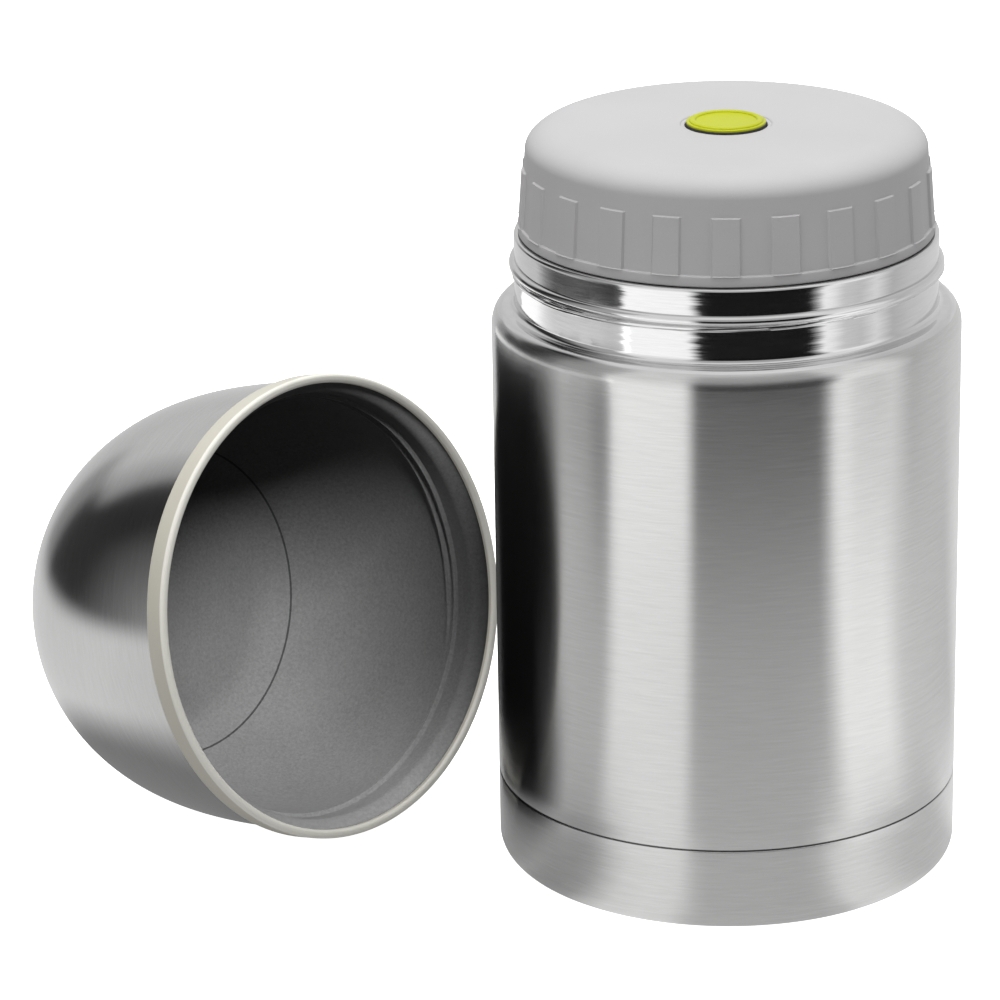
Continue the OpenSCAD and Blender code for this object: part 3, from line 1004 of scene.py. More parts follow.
@dataclass
class Vessel(Assembly):
    """The steel vessel: outer shell with its neck, food liner and foot cap."""

    body_r: float = 49.0
    body_h: float = 122.0
    sheet_t: float = 0.6
    cap_h: float = 18.1
    seam_w: float = 0.35
    seam_ease: Point = (0.05, 0.3)
    cap_ease: Point = (0.2, 0.25)
    lap_r: float = 48.35
    lap_low: float = 5.5
    foot_round: float = 3.8
    groove: Trio = (22.0, 36.0, 1.2)
    shoulder: Point = (3.0, 4.2)
    neck_r: float = 44.1
    neck_fillet: float = 1.2
    lip_z: float = 137.6
    lip_round: float = 0.7
    weld_r: float = 43.1
    bead: Trio = (6.55, 1.1, 1.1)
    liner_r: float = 45.4
    liner_floor: float = 12.0
    liner_round: float = 9.0
    slope: Point = (116.5, 4.0)
    liner_neck_r: float = 42.3
    polish: Point = (1.2, 0.9)
    wall_run: float = 4.0
    cap_run: float = 3.0
    floor_run: float = 6.0
    thread_run: float = 0.16
    mouth_run: float = 0.25
    cup_thread: Thread = Thread(height=0.5, width=0.9, lead=2.4, start=70.0, sweep=300.0, low=128.217)
    stopper_thread: Thread = Thread(
        height=-0.85, width=1.4, lead=12.0, start=0.0, sweep=160.0, low=125.6, starts=3
    )

    def shell(self) -> bpy.types.Object:
        """Builds the outer shell from its lap in the foot cap up to the lip.

        Returns:
            The new piece.
        """
        seam_z, top_z = self.cap_h + self.seam_w / 2, self.cap_h + self.seam_w
        ease_r, ease_h = self.seam_ease
        lap = [(self.lap_r, self.lap_low), (self.lap_r, seam_z)]
        edge = bend(lap[-1], (self.body_r - ease_r, seam_z), (self.body_r, top_z + ease_h), 4)
        inset, drop = self.shoulder
        wall = dense([edge[-1], (self.body_r, self.body_h - drop)], self.wall_run)[1:]
        crown = arc((self.body_r - inset, self.body_h - drop), self.shoulder, 0, 90, 20)
        fillet_r = self.neck_fillet
        fillet = arc((self.neck_r + fillet_r, self.body_h + fillet_r), (fillet_r, fillet_r), 270, 180, 10)
        roll = arc((self.neck_r, self.lip_z - self.bead[0]), self.bead[1:], -90, 90, 20)
        rounding = (self.lip_round, self.lip_round)
        lip = arc((self.neck_r - self.lip_round, self.lip_z - self.lip_round), rounding, 0, 90, 8)
        lip += [(self.weld_r, self.lip_z)]
        neck = dense([fillet[-1], roll[0]], self.thread_run)[1:-1]
        upper = dense([roll[-1], lip[0]], 0.5)[1:-1]
        path = lap + edge + wall + crown[1:] + fillet + neck + roll + upper + lip
        outline = sheet(path, self.sheet_t)

        def relief(turn: np.ndarray, radius: np.ndarray, level: np.ndarray) -> np.ndarray:
            """Puts the cup's thread on the outer face of the neck only."""
            face = (radius >= self.neck_r - 0.01) & (level > self.body_h + 2)
            return self.cup_thread.relief(turn, radius, level) * face

        return lathe("jar_shell", outline, ring_angles(WALL_COLUMNS), relief)

    def foot(self) -> bpy.types.Object:
        """Builds the foot cap with its rounded edge and the ring groove underneath.

        Returns:
            The new piece.
        """
        disc_r, groove_r, depth = self.groove
        under = [(0.0, 0.0), (disc_r - 0.6, 0.0)]
        under += bend(under[-1], (disc_r + 0.4, 0.0), (disc_r + 0.9 * depth, depth * 0.6), 3)
        under += bend(under[-1], (disc_r + 1.5 * depth, depth), (disc_r + 2.4 * depth, depth), 3)
        under += [(groove_r - 1.0, depth)]
        under += bend(under[-1], (groove_r, depth), (groove_r + 0.7 * depth, depth * 0.5), 3)
        under += bend(under[-1], (groove_r + 1.5 * depth, 0.0), (groove_r + 2.4 * depth, 0.0), 3)
        edge, (ease_r, ease_h) = self.foot_round, self.cap_ease
        rounded = arc((self.body_r - edge, edge), (edge, edge), -90, 0, 16)
        wall = dense([rounded[-1], (self.body_r, self.cap_h - ease_h)], self.cap_run)[1:]
        top = bend(wall[-1], (self.body_r, self.cap_h), (self.body_r - ease_r, self.cap_h), 4)
        return lathe("foot_cap", sheet(under + rounded + wall + top, self.sheet_t), ring_angles(WALL_COLUMNS))

    def liner(self) -> bpy.types.Object:
        """Builds the food liner with the stopper's thread in its mouth.

        Returns:
            The new piece.
        """
        start, rise = self.slope
        middle = ((self.liner_r + self.liner_neck_r) / 2, start + rise / 2)
        corner, floor = self.liner_round, self.liner_floor
        path = dense([(0.0, floor), (self.liner_r - corner, floor)], self.floor_run)[:-1]
        path += arc((self.liner_r - corner, floor + corner), (corner, corner), -90, 0, 16)
        path += [(self.liner_r, start)]
        path += bend(path[-1], (self.liner_r, middle[1]), middle, 6)
        path += bend(path[-1], (self.liner_neck_r, middle[1]), (self.liner_neck_r, start + rise), 6)
        path += dense([path[-1], (self.liner_neck_r, self.lip_z - self.sheet_t)], self.mouth_run)[1:]
        path += [(self.weld_r, self.lip_z - self.sheet_t)]
        outline = sheet(path, self.sheet_t)

        def relief(turn: np.ndarray, radius: np.ndarray, level: np.ndarray) -> np.ndarray:
            """Puts the thread on the inner face of the mouth only."""
            face = (radius < self.liner_neck_r - self.sheet_t / 2) & (level > start + rise)
            return self.stopper_thread.relief(turn, radius, level) * face

        return lathe("food_liner", outline, ring_angles(WALL_COLUMNS), relief)

    def polished(self, middle: Vector) -> bool:
        """Tells whether a face of the shell is on its neck.

        Args:
            middle: The middle of the face, in metres.

        Returns:
            True on the neck.
        """
        inset, drop = self.polish
        reach = math.hypot(middle.x, middle.y)
        return middle.z > (self.body_h - drop) * MM and reach < (self.body_r - inset) * MM

    def make(self) -> list[bpy.types.Object]:
        """Builds and dresses the vessel.

        Returns:
            The new pieces.
        """
        plan = (
            ("body_steel", "outer_shell", "jar"),
            ("body_steel", "base_cap", "jar"),
            ("mouth_steel", "inner_vessel", "jar", "neck_steel"),
        )
        pieces = self.fit(plan, self.shell(), self.foot(), self.liner())
        self.accent(pieces[0], "neck_steel", self.polished)
        self.finishes.redress("bottom_plate", "sheet_steel")
        self.finishes.redress("vacuum_seal", "solder")
        self.finishes.redress("getter", "getter_metal")
        self.finishes.redress("radiation_foil", "foil")
        return pieces


@dataclass
class Stopper(Assembly):
    """The screw-in stopper: ribbed grip cap, threaded plug, insulation and gasket."""

    low: float = 137.75
    top: float = 160.0
    ledge_r: float = 43.2
    ledge_top: float = 139.95
    grip_low_r: float = 42.6
    grip_top_r: float = 41.55
    corner_h: float = 4.95
    flat_r: float = 33.5
    bore_r: float = 39.8
    inside_z: float = 157.8
    groove: Point = (42.6, 139.3)
    hole_r: float = 8.55
    halo: Point = (0.9, 0.25)
    ribs: int = 22
    rib_half: float = 3.85
    rib_side: float = 0.7
    rib_top: float = 151.75
    rib_crown: float = 0.15
    rib_sunk: float = 0.06
    plug_r: float = 40.5
    plug_in_r: float = 38.5
    collar_in_r: float = 37.8
    plug_low: float = 114.0
    collar_top: float = 151.3
    seat_hole_r: float = 4.0
    base_t: float = 2.0
    gasket: tuple[float, float, float, float] = (40.95, 42.3, 137.65, 139.15)
    gasket_steps: int = 24
    wall_run: float = 1.6
    crown_run: float = 0.1
    thread_run: float = 0.25
    thread: Thread = Thread(height=0.85, width=1.4, lead=12.0, start=0.0, sweep=160.0, low=123.6, starts=3)

    def rib_columns(self) -> np.ndarray:
        """Gives column angles that are close together at the sides of the ribs.

        Returns:
            The angles in radians, rising.
        """
        offsets = [d - self.rib_half for d in (-0.75, -0.5, -0.25, 0.0, 0.25, 0.6)]
        offsets += [-1.6, 0.0, 1.6] + [-d for d in reversed(offsets)]
        pitch, flank = 360.0 / self.ribs, offsets[-1]
        gap = [flank + (pitch / 2 - flank) * 0.6, pitch / 2]
        angles = []
        for k in range(self.ribs):
            angles += [pitch * (k + 0.5) + d for d in [-gap[0], *offsets, *gap]]
        return np.radians(np.array(sorted(angles)))

    def rib_relief(self, turn: np.ndarray, radius: np.ndarray, level: np.ndarray) -> np.ndarray:
        """Raises the ribs from the grip wall.

        Args:
            turn: Angles in radians.
            radius: Radii in millimetres.
            level: Heights in millimetres.

        Returns:
            The added radius.
        """
        pitch = 360.0 / self.ribs
        off = np.abs((np.degrees(turn) % pitch) - pitch / 2)
        side = np.clip((self.rib_half + self.rib_side / 2 - off) / self.rib_side, 0.0, 1.0)
        crown = np.clip((self.rib_top - level) / self.rib_crown, 0.0, 1.0)
        band = (level > self.ledge_top + 0.01) & (radius > self.grip_top_r - 0.5)
        return eased(side) * eased(crown) * band * (self.ledge_r - self.grip_low_r - self.rib_sunk)

    def cap(self) -> bpy.types.Object:
        """Builds the grip cap: ledge, ribs, drafted wall, rounded corner and the recess round the button.

        Returns:
            The new piece.
        """
        ledge_r, ledge_z, low_r, top_r = self.ledge_r, self.ledge_top, self.grip_low_r, self.grip_top_r
        path = [(self.groove[0], self.low), (ledge_r - 0.35, self.low)]
        path += bend(path[-1], (ledge_r, self.low), (ledge_r, self.low + 0.4), 4)
        path += [(ledge_r, ledge_z - 0.25)]
        path += bend(path[-1], (ledge_r, ledge_z), (ledge_r - 0.22, ledge_z + 0.02), 3)
        path += [(low_r + self.rib_sunk, ledge_z + 0.06)]
        path += bend(path[-1], (low_r, ledge_z + 0.06), (low_r - 0.02, ledge_z + 0.35), 3)
        path += dense([path[-1], (top_r + 0.27, self.rib_top - 0.9)], self.wall_run)[1:]
        path += dense([path[-1], (top_r + 0.19, self.rib_top + 0.3)], self.crown_run)[1:]
        corner = (top_r - self.flat_r, self.corner_h)
        path += arc((self.flat_r, self.top - self.corner_h), corner, 0, 90, 28)
        halo_r, halo_z = self.hole_r + self.halo[0], self.top - self.halo[1]
        path += [(halo_r + 0.4, self.top)]
        path += bend(path[-1], (halo_r, self.top), (halo_r - 0.12, halo_z), 4)
        path += [(self.hole_r + 0.2, halo_z)]
        path += bend(path[-1], (self.hole_r, halo_z), (self.hole_r, halo_z - 0.2), 3)
        path += [(self.hole_r, self.inside_z), (self.bore_r - 2, self.inside_z)]
        path += [(self.bore_r, self.inside_z - 2), (self.bore_r, self.groove[1]), self.groove]
        return lathe("grip_cap", path, self.rib_columns(), self.rib_relief, sharp=40.0)

    def plug(self) -> bpy.types.Object:
        """Builds the threaded plug with its collar.

        Returns:
            The new piece.
        """
        step = self.groove[1] - 2
        path = [(self.plug_in_r, self.plug_low), (self.plug_r - 0.4, self.plug_low)]
        path += bend(path[-1], (self.plug_r, self.plug_low), (self.plug_r, self.plug_low + 0.4), 3)
        path += dense([path[-1], (self.plug_r, self.groove[1])], self.thread_run)[1:]
        path += [(self.bore_r, self.groove[1]), (self.bore_r, self.collar_top)]
        path += [(self.collar_in_r, self.collar_top), (self.collar_in_r, step), (self.plug_in_r, step)]

        def relief(turn: np.ndarray, radius: np.ndarray, level: np.ndarray) -> np.ndarray:
            """Puts the thread on the plug's outer face only."""
            return self.thread.relief(turn, radius, level) * (radius > self.plug_r - 0.05)

        return lathe("threaded_plug", path, ring_angles(WALL_COLUMNS), relief)

    def base(self) -> bpy.types.Object:
        """Builds the disc that closes the plug, with a shallow dish round the valve's hole.

        Returns:
            The new piece.
        """
        low, high, hole = self.plug_low, self.plug_low + self.base_t, self.seat_hole_r
        path = [(hole, low + 0.2), (hole + 0.2, low), (9.0, low)]
        path += bend(path[-1], (10.0, low), (11.0, low + 0.25), 3) + [(self.plug_in_r - 3.0, low + 0.25)]
        path += bend(path[-1], (self.plug_in_r - 2.0, low + 0.2), (self.plug_in_r - 1.4, low), 3)
        path += [(self.plug_in_r, low), (self.plug_in_r, high), (hole, high)]
        return lathe("plug_base", path, ring_angles(DISC_COLUMNS))

    def seal(self) -> bpy.types.Object:
        """Builds the lip gasket with rounded edges.

        Returns:
            The new piece.
        """
        r0, r1, z0, z1 = self.gasket
        middle, half, tall = (r0 + r1) / 2, (r1 - r0) / 2, (z1 - z0) / 2
        path = []
        for t in ring_angles(self.gasket_steps):
            across, up = (math.copysign(abs(part) ** 0.5, part) for part in (math.cos(t), math.sin(t)))
            path.append((middle + half * across, z0 + tall + tall * up))
        return lathe("gasket", path, ring_angles(DISC_COLUMNS))

    def make(self) -> list[bpy.types.Object]:
        """Builds and dresses the stopper.

        Returns:
            The new pieces.
        """
        plan = (
            ("grey_plastic", "stopper_cap", "stopper"),
            ("plug_plastic", "stopper_plug", "stopper"),
            ("plug_plastic", "stopper_base", "stopper"),
            ("silicone", "lip_gasket", "stopper_carrier"),
        )
        self.finishes.redress("stopper_insulation", "foam")
        self.finishes.redress("valve_guide", "plug_plastic")
        return self.fit(plan, self.cap(), self.plug(), self.base(), self.seal())


@dataclass
class Valve(Assembly):
    """The release valve: push button, dark skirt, stem, spring, seal and clip."""

    button_z: float = 160.1
    button_r: float = 8.2
    button_h: float = 0.9
    skirt_in_r: float = 6.9
    skirt_low: float = 148.1
    stem_r: float = 3.0
    groove_t: float = 0.4
    spring_top: float = 158.5
    spring_low: float = 141.1
    wire: float = 0.8
    turns: int = 7
    press: float = 2.0
    seal_z: float = 112.05
    seal_r: float = 7.5
    seal_t: float = 1.9
    clip_t: float = 1.0
    clip_r: float = 5.0
    stem_low: float = 110.25

    def button(self) -> bpy.types.Object:
        """Builds the button: a thin flange, a raised ring and a dished middle.

        Returns:
            The new piece.
        """
        z, r, h = self.button_z, self.button_r, self.button_h
        path = [(0.0, z), (r - 0.1, z)] + bend((r - 0.1, z), (r, z), (r, z + 0.1), 3)
        path += [(r, z + h * 0.35)]
        path += bend(path[-1], (r, z + h * 0.55), (r * 0.955, z + h * 0.58), 6)
        path += arc((r * 0.85, z + h * 0.58), (r * 0.085, h * 0.42), 0, 180, 18)
        path += bend(path[-1], (r * 0.74, z + h * 0.5), (r * 0.66, z + h * 0.47), 6)
        path += [(r * 0.4, z + h * 0.41), (0.0, z + h * 0.39)]
        return lathe("push_button", path, ring_angles(BUTTON_COLUMNS))

    def skirt(self) -> bpy.types.Object:
        """Builds the dark skirt below the button.

        Returns:
            The new piece.
        """
        r, low, top = self.button_r, self.skirt_low, self.button_z
        path = [
            (self.stem_r, self.spring_top), (self.skirt_in_r, self.spring_top), (self.skirt_in_r, low + 0.3),
            (self.skirt_in_r + 0.3, low), (r - 0.3, low), (r, low + 0.3), (r, top), (self.stem_r, top),
        ]
        return lathe("dark_skirt", path, ring_angles(BUTTON_COLUMNS))

    def stem(self) -> bpy.types.Object:
        """Builds the stem with its rounded tip and the clip's groove.

        Returns:
            The new piece.
        """
        r, neck, clip = self.stem_r, self.stem_r - self.groove_t, self.seal_z - self.clip_t
        path = [(0.0, self.stem_low), (r - 0.5, self.stem_low)]
        path += bend(path[-1], (r, self.stem_low), (r, self.stem_low + 0.5), 5)
        path += [(r, clip), (neck, clip), (neck, self.seal_z), (r, self.seal_z)]
        path += [(r, self.button_z), (0.0, self.button_z)]
        return lathe("valve_pin", path, ring_angles(PIN_COLUMNS))

    def seal(self) -> bpy.types.Object:
        """Builds the sealing disc with a rounded edge and a lip groove underneath.

        Returns:
            The new piece.
        """
        r, z, t = self.seal_r, self.seal_z, self.seal_t
        path = [(self.stem_r, z), (r - 2.4, z), (r - 2.1, z + 0.3), (r - 1.4, z + 0.3), (r - 1.1, z)]
        path += [(r - 0.6, z)] + bend((r - 0.6, z), (r, z), (r, z + 0.6), 5)
        path += [(r, z + t - 0.4)] + bend((r, z + t - 0.4), (r, z + t), (r - 0.4, z + t), 4)
        path += [(self.stem_r, z + t)]
        return lathe("seal_disc", path, ring_angles(BUTTON_COLUMNS))

    def clip(self) -> bpy.types.Object:
        """Builds the retaining ring with eased edges.

        Returns:
            The new piece.
        """
        r, z, t = self.clip_r, self.seal_z - self.clip_t, self.clip_t
        inner = self.stem_r - self.groove_t
        path = [(inner, z), (r - 0.2, z), (r, z + 0.2), (r, z + t - 0.2), (r - 0.2, z + t), (inner, z + t)]
        return lathe("retaining_ring", path, ring_angles(PIN_COLUMNS))

    def make(self) -> list[bpy.types.Object]:
        """Builds and dresses the valve.

        Returns:
            The new pieces.
        """
        radius, low, high = (self.stem_r + self.skirt_in_r) / 2, self.spring_low, self.spring_top
        ends = (low + self.wire / 2, high - self.wire / 2)
        coil = helix_tube("return_spring", radius, self.wire, ends, self.turns)
        plan = (
            ("button_plastic", "valve_button", "valve"),
            ("skirt_plastic", "button_skirt", "valve"),
            ("plug_plastic", "valve_stem", "valve"),
            ("silicone", "valve_seal", "valve"),
            ("spring_steel", "seal_clip", "valve"),
            ("spring_steel", "valve_spring", "stopper"),
        )
        pieces = self.fit(plan, self.button(), self.skirt(), self.stem(), self.seal(), self.clip(), coil)
        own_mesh(coil)
        return pieces


@dataclass
class Cup(Assembly):
    """The domed cup on its side: brushed shell, satin liner, rim ring and foam.

    Its paths run from the middle of the mouth, where the depth is 0, to the closed end.
    """

    rim_r: float = 50.0
    shell_r: float = 48.5
    sheet_t: float = 0.5
    dome_len: float = 74.727
    powers: Point = (2.99, 2.2)
    dome_end: float = 54.01797
    dome_runs: int = 18
    depth: float = 69.0
    foot_r: float = 23.5
    foot_recess: float = 1.0
    rim_h: float = 4.8
    rim_in_r: float = 48.1
    rim_seat: float = 1.4
    shell_seat: float = 3.8
    shell_ledge: float = 0.8
    slot_fit: float = 0.05
    wall_r: float = 46.5
    crease: Point = (34.9, 52.0)
    bottom: float = 56.5
    reach: float = 83.6
    side: float = 2.5
    tilt: float = 12.3
    turn: float = -39.9
    crease_line: Trio = (51.38, 51.58, 35.0)
    # Band of the front lip that takes the lighter copy of the rim plastic as painted light.
    painted_light_band: Trio = (-0.1, 0.8, 50.0)
    thread_zone: Point = (-14.5, -5.0)
    thread_run: float = 0.16
    thread: Thread = Thread(height=-0.9, width=1.0, lead=2.4, start=60.0, sweep=600.0, low=-12.0)
    place: Matrix = field(default_factory=Matrix)

    def dome_point(self, degrees: float) -> Point:
        """Gives a point of the dome.

        Args:
            degrees: The point's parameter, 0 at the mouth.

        Returns:
            Its radius and depth.
        """
        t = math.radians(degrees)
        return (
            self.shell_r * math.cos(t) ** (2 / self.powers[1]),
            self.dome_len * math.sin(t) ** (2 / self.powers[0]),
        )

    def settle(self) -> None:
        """Finds the cup's placement from its tilt, with its dome resting on the floor."""
        tip = math.radians(self.tilt)
        runs = self.dome_runs
        points = [self.dome_point(self.dome_end * i / runs) for i in range(runs + 1)]
        height = max(s * math.sin(tip) + r * math.cos(tip) for r, s in points)
        spin = Matrix.Rotation(math.radians(self.turn), 4, "Z") @ Matrix.Rotation(math.pi / 2 - tip, 4, "Y")
        self.place = Matrix.Translation(Vector((-self.reach, self.side, height)) * MM) @ spin

    def shell(self) -> bpy.types.Object:
        """Builds the domed shell with its recessed foot.

        Returns:
            The new piece.
        """
        steps = [0.4 * i for i in range(1, 10)] + [4.0 + i for i in range(int(self.dome_end) - 4)]
        dome = [self.dome_point(step) for step in (*steps, self.dome_end)]
        dome = [p for p in dome if p[1] > self.shell_seat + 0.2]
        last, before = dome[-1], self.dome_point(self.dome_end - 0.5)
        slope = (last[0] - before[0]) / (last[1] - before[1])
        corner = (last[0] + slope * (self.depth - last[1]), self.depth)
        path = [(self.shell_r, self.shell_seat)] + dome + bend(last, corner, (self.foot_r, self.depth), 14)
        ring = (self.foot_r - 1.6, self.depth)
        deep = self.depth - self.foot_recess
        path += [ring] + bend(ring, (self.foot_r - 2.5, self.depth), (self.foot_r - 2.9, deep + 0.3), 5)
        path += bend(path[-1], (self.foot_r - 3.1, deep), (self.foot_r - 3.6, deep), 4)
        path += [(12.0, deep), (0.0, deep)]
        outline = sheet([(r, -s) for r, s in path], -self.sheet_t)
        return lathe("cup_dome", outline, ring_angles(WALL_COLUMNS), place=self.place)

    def liner(self) -> bpy.types.Object:
        """Builds the satin liner with the rolled thread near its mouth.

        Returns:
            The new piece.
        """
        back = self.wall_r
        inner_r = self.rim_in_r + self.sheet_t
        r, depth = self.crease
        path = [(inner_r, self.rim_seat), (inner_r, 1.9)]
        path += bend(path[-1], (inner_r, 2.4), ((inner_r + back) / 2, 3.3), 5)
        path += bend(path[-1], (back, 4.3), (back, 5.2), 5)
        path += dense([path[-1], (back, 14.0)], self.thread_run)[1:]
        path += bend((back, 14.0), (back - 0.5, depth - 14.0), (r + 0.3, depth - 0.35), 36)
        path += [(r + 0.1, depth - 0.1), (r - 0.1, depth + 0.02)]
        path += bend((r - 0.1, depth + 0.02), (r - 3.6, self.bottom), (r - 9.0, self.bottom), 12)
        path += [(18.0, self.bottom), (8.0, self.bottom), (0.0, self.bottom)]
        outline = sheet([(r, -s) for r, s in path], -self.sheet_t)
        deep, near = self.thread_zone

        def relief(turn: np.ndarray, radius: np.ndarray, level: np.ndarray) -> np.ndarray:
            """Puts the thread on the inner face only."""
            face = (np.abs(radius - (back - self.sheet_t)) < 0.06) & (level > deep) & (level < near)
            return self.thread.relief(turn, radius, level) * face

        return lathe("cup_bowl", outline, ring_angles(WALL_COLUMNS), relief, place=self.place)

    def rim(self) -> bpy.types.Object:
        """Builds the cream ring: a rounded lip with an outer band, the liner's seat and the shell's ledge.

        Returns:
            The new piece.
        """
        inside, slot = self.rim_in_r + self.sheet_t + self.slot_fit, self.shell_r - self.sheet_t
        ledge = self.shell_seat - self.shell_ledge
        path = [(self.shell_r, self.rim_h), (self.rim_r - 0.15, self.rim_h)]
        path += bend(path[-1], (self.rim_r, self.rim_h), (self.rim_r, self.rim_h - 0.2), 3)
        outer = [(r, -z) for r, z in arc((self.rim_r - 0.8, -0.8), (0.8, 0.8), 0, 90, 10)]
        inner = [(r, -z) for r, z in arc((self.rim_in_r + 0.75, -0.75), (0.75, 0.75), 90, 180, 10)]
        path += outer + inner + [(self.rim_in_r, self.rim_seat), (inside, self.rim_seat), (inside, ledge)]
        path += [(slot, ledge), (slot, self.shell_seat), (self.shell_r, self.shell_seat)]
        return lathe("cup_ring", [(r, -s) for r, s in path], ring_angles(WALL_COLUMNS), place=self.place)

    def within(self, band: Trio) -> Callable[[Vector], bool]:
        """Makes a test for the faces in a band round the cup's axis.

        Args:
            band: Depths where the band starts and ends, and its largest radius.

        Returns:
            The test, which takes the middle of a face in metres.
        """
        back = self.place.inverted()
        near, far, reach = (part * MM for part in band)

        def chosen(centre: Vector) -> bool:
            """Tells whether a face lies in the band."""
            middle = back @ centre
            return near < -middle.z < far and math.hypot(middle.x, middle.y) < reach

        return chosen

    def make(self) -> list[bpy.types.Object]:
        """Builds and dresses the cup.

        Returns:
            The new pieces.
        """
        self.settle()
        brushed = LinedSteel(
            "cup_steel", gloss=(0.13, 0.17), stretch=0.6, grain=Grain.SPUN, placed=self.place
        )
        self.finishes.made[brushed.name] = brushed.build()
        plan = (
            ("cup_steel", "cup_shell", "cup"),
            ("liner_steel", "cup_liner", "cup"),
            ("rim_plastic", "cup_rim", "cup"),
        )
        pieces = self.fit(plan, self.shell(), self.liner(), self.rim())
        self.accent(pieces[1], "crease_shade", self.within(self.crease_line))
        # The front lip gets the lighter copy of the rim plastic: painted light.
        self.accent(pieces[2], "rim_painted_light", self.within(self.painted_light_band))
        self.finishes.redress("cup_insulation", "foam")
        return pieces


# Studio


def area_light(name: str, size: Point, power: float, place: Vector, target: Vector) -> bpy.types.Object:
    """Adds a rectangular light that looks at a place.

    Args:
        name: Name of the light.
        size: Its width and height in metres.
        power: Its power in watts.
        place: Its position in metres.
        target: Where it looks.

    Returns:
        The light.
    """
    data = bpy.data.lights.new(name, "AREA")
    data.shape = "RECTANGLE"
    data.size, data.size_y = size
    data.energy = power
    lamp = link(name, data)
    lamp.location = place
    lamp.rotation_euler = (target - place).to_track_quat("-Z", "Y").to_euler()
    return lamp


def only_glossy(obj: bpy.types.Object) -> None:
    """Leaves an object's reflection in gloss as all that shows of it."""
    obj.visible_camera = obj.visible_diffuse = obj.visible_shadow = False


@dataclass(frozen=True)
class SoftBox:
    """A soft light that no gloss mirrors; the place is in metres, the power in watts."""

    name: str
    place: Place
    size: Point
    power: float
    target: Place = (-0.03, 0.0, 0.08)

    def build(self) -> bpy.types.Object:
        """Adds the light.

        Returns:
            The light.
        """
        lamp = area_light(self.name, self.size, self.power, Vector(self.place), Vector(self.target))
        lamp.visible_glossy = False
        return lamp


@dataclass(frozen=True)
class StripLights:
    """Narrow strip lights round the left of the neck, which only its gloss shows; sizes in millimetres.

    The ends hold the angles from the front of the first and last light's outer sides, and the height of
    their tops there.
    """

    radius: float = 92.0
    tall: float = 8.5
    count: int = 4
    ends: tuple[Point, Point] = ((-120, 109.0), (-41, 115.2))
    level: float = 0.7

    def build(self) -> None:
        """Adds the lights."""
        (first, low), (last, high) = self.ends
        step = (last - first) / self.count
        size = (2 * self.radius * math.tan(math.radians(step / 2)) * MM, self.tall * MM)
        power = self.level * math.pi * size[0] * size[1]
        for i in range(self.count):
            share = (i + 0.5) / self.count
            turn = math.radians(first + (last - first) * share)
            middle = Vector((0.0, 0.0, (low + (high - low) * share - self.tall / 2) * MM))
            place = Vector((math.sin(turn), -math.cos(turn), 0.0)) * self.radius * MM
            lamp = area_light(f"neck_strip_{i + 1}", size, power, place + middle, middle)
            lamp.visible_camera = lamp.visible_diffuse = False


@dataclass(frozen=True)
class Sweep:
    """The pale floor, which curves up into a wall all round; sizes in metres."""

    radius: float = 3.0
    height: float = 2.2
    bend_r: float = 1.0
    bend_steps: int = 16
    columns: int = 96

    def build(self) -> None:
        """Builds the sweep and its paper."""
        foot = self.radius - self.bend_r
        path = [(0.0, 0.0)] + arc((foot, self.bend_r), (self.bend_r, self.bend_r), -90, 0, self.bend_steps)
        path += [(self.radius, self.height)]
        count, verts, faces = self.columns, [], []
        for r, z in path:
            verts += [(r * math.cos(t), r * math.sin(t), z - FLOOR_GAP) for t in ring_angles(count)]
        for i in range(len(path) - 1):
            low, high = i * count, (i + 1) * count
            for k in range(count):
                m = (k + 1) % count
                faces.append([low + k, low + m, high + m, high + k])
        mesh = bpy.data.meshes.new("sweep")
        mesh.from_pydata(verts, [], faces)
        floor = finish_mesh("sweep", mesh, closed=False)
        g = Graph("sweep_paper")
        g.tint(g.noise(g.place, scale=400.0), grey(0.86), grey(0.9))
        g.fix(Roughness=0.9, Specular_IOR_Level=0.1, Emission_Color=grey(1.0), Emission_Strength=1.0)
        mesh.materials.append(g.material)
        floor.visible_glossy = floor.visible_diffuse = floor.visible_shadow = False


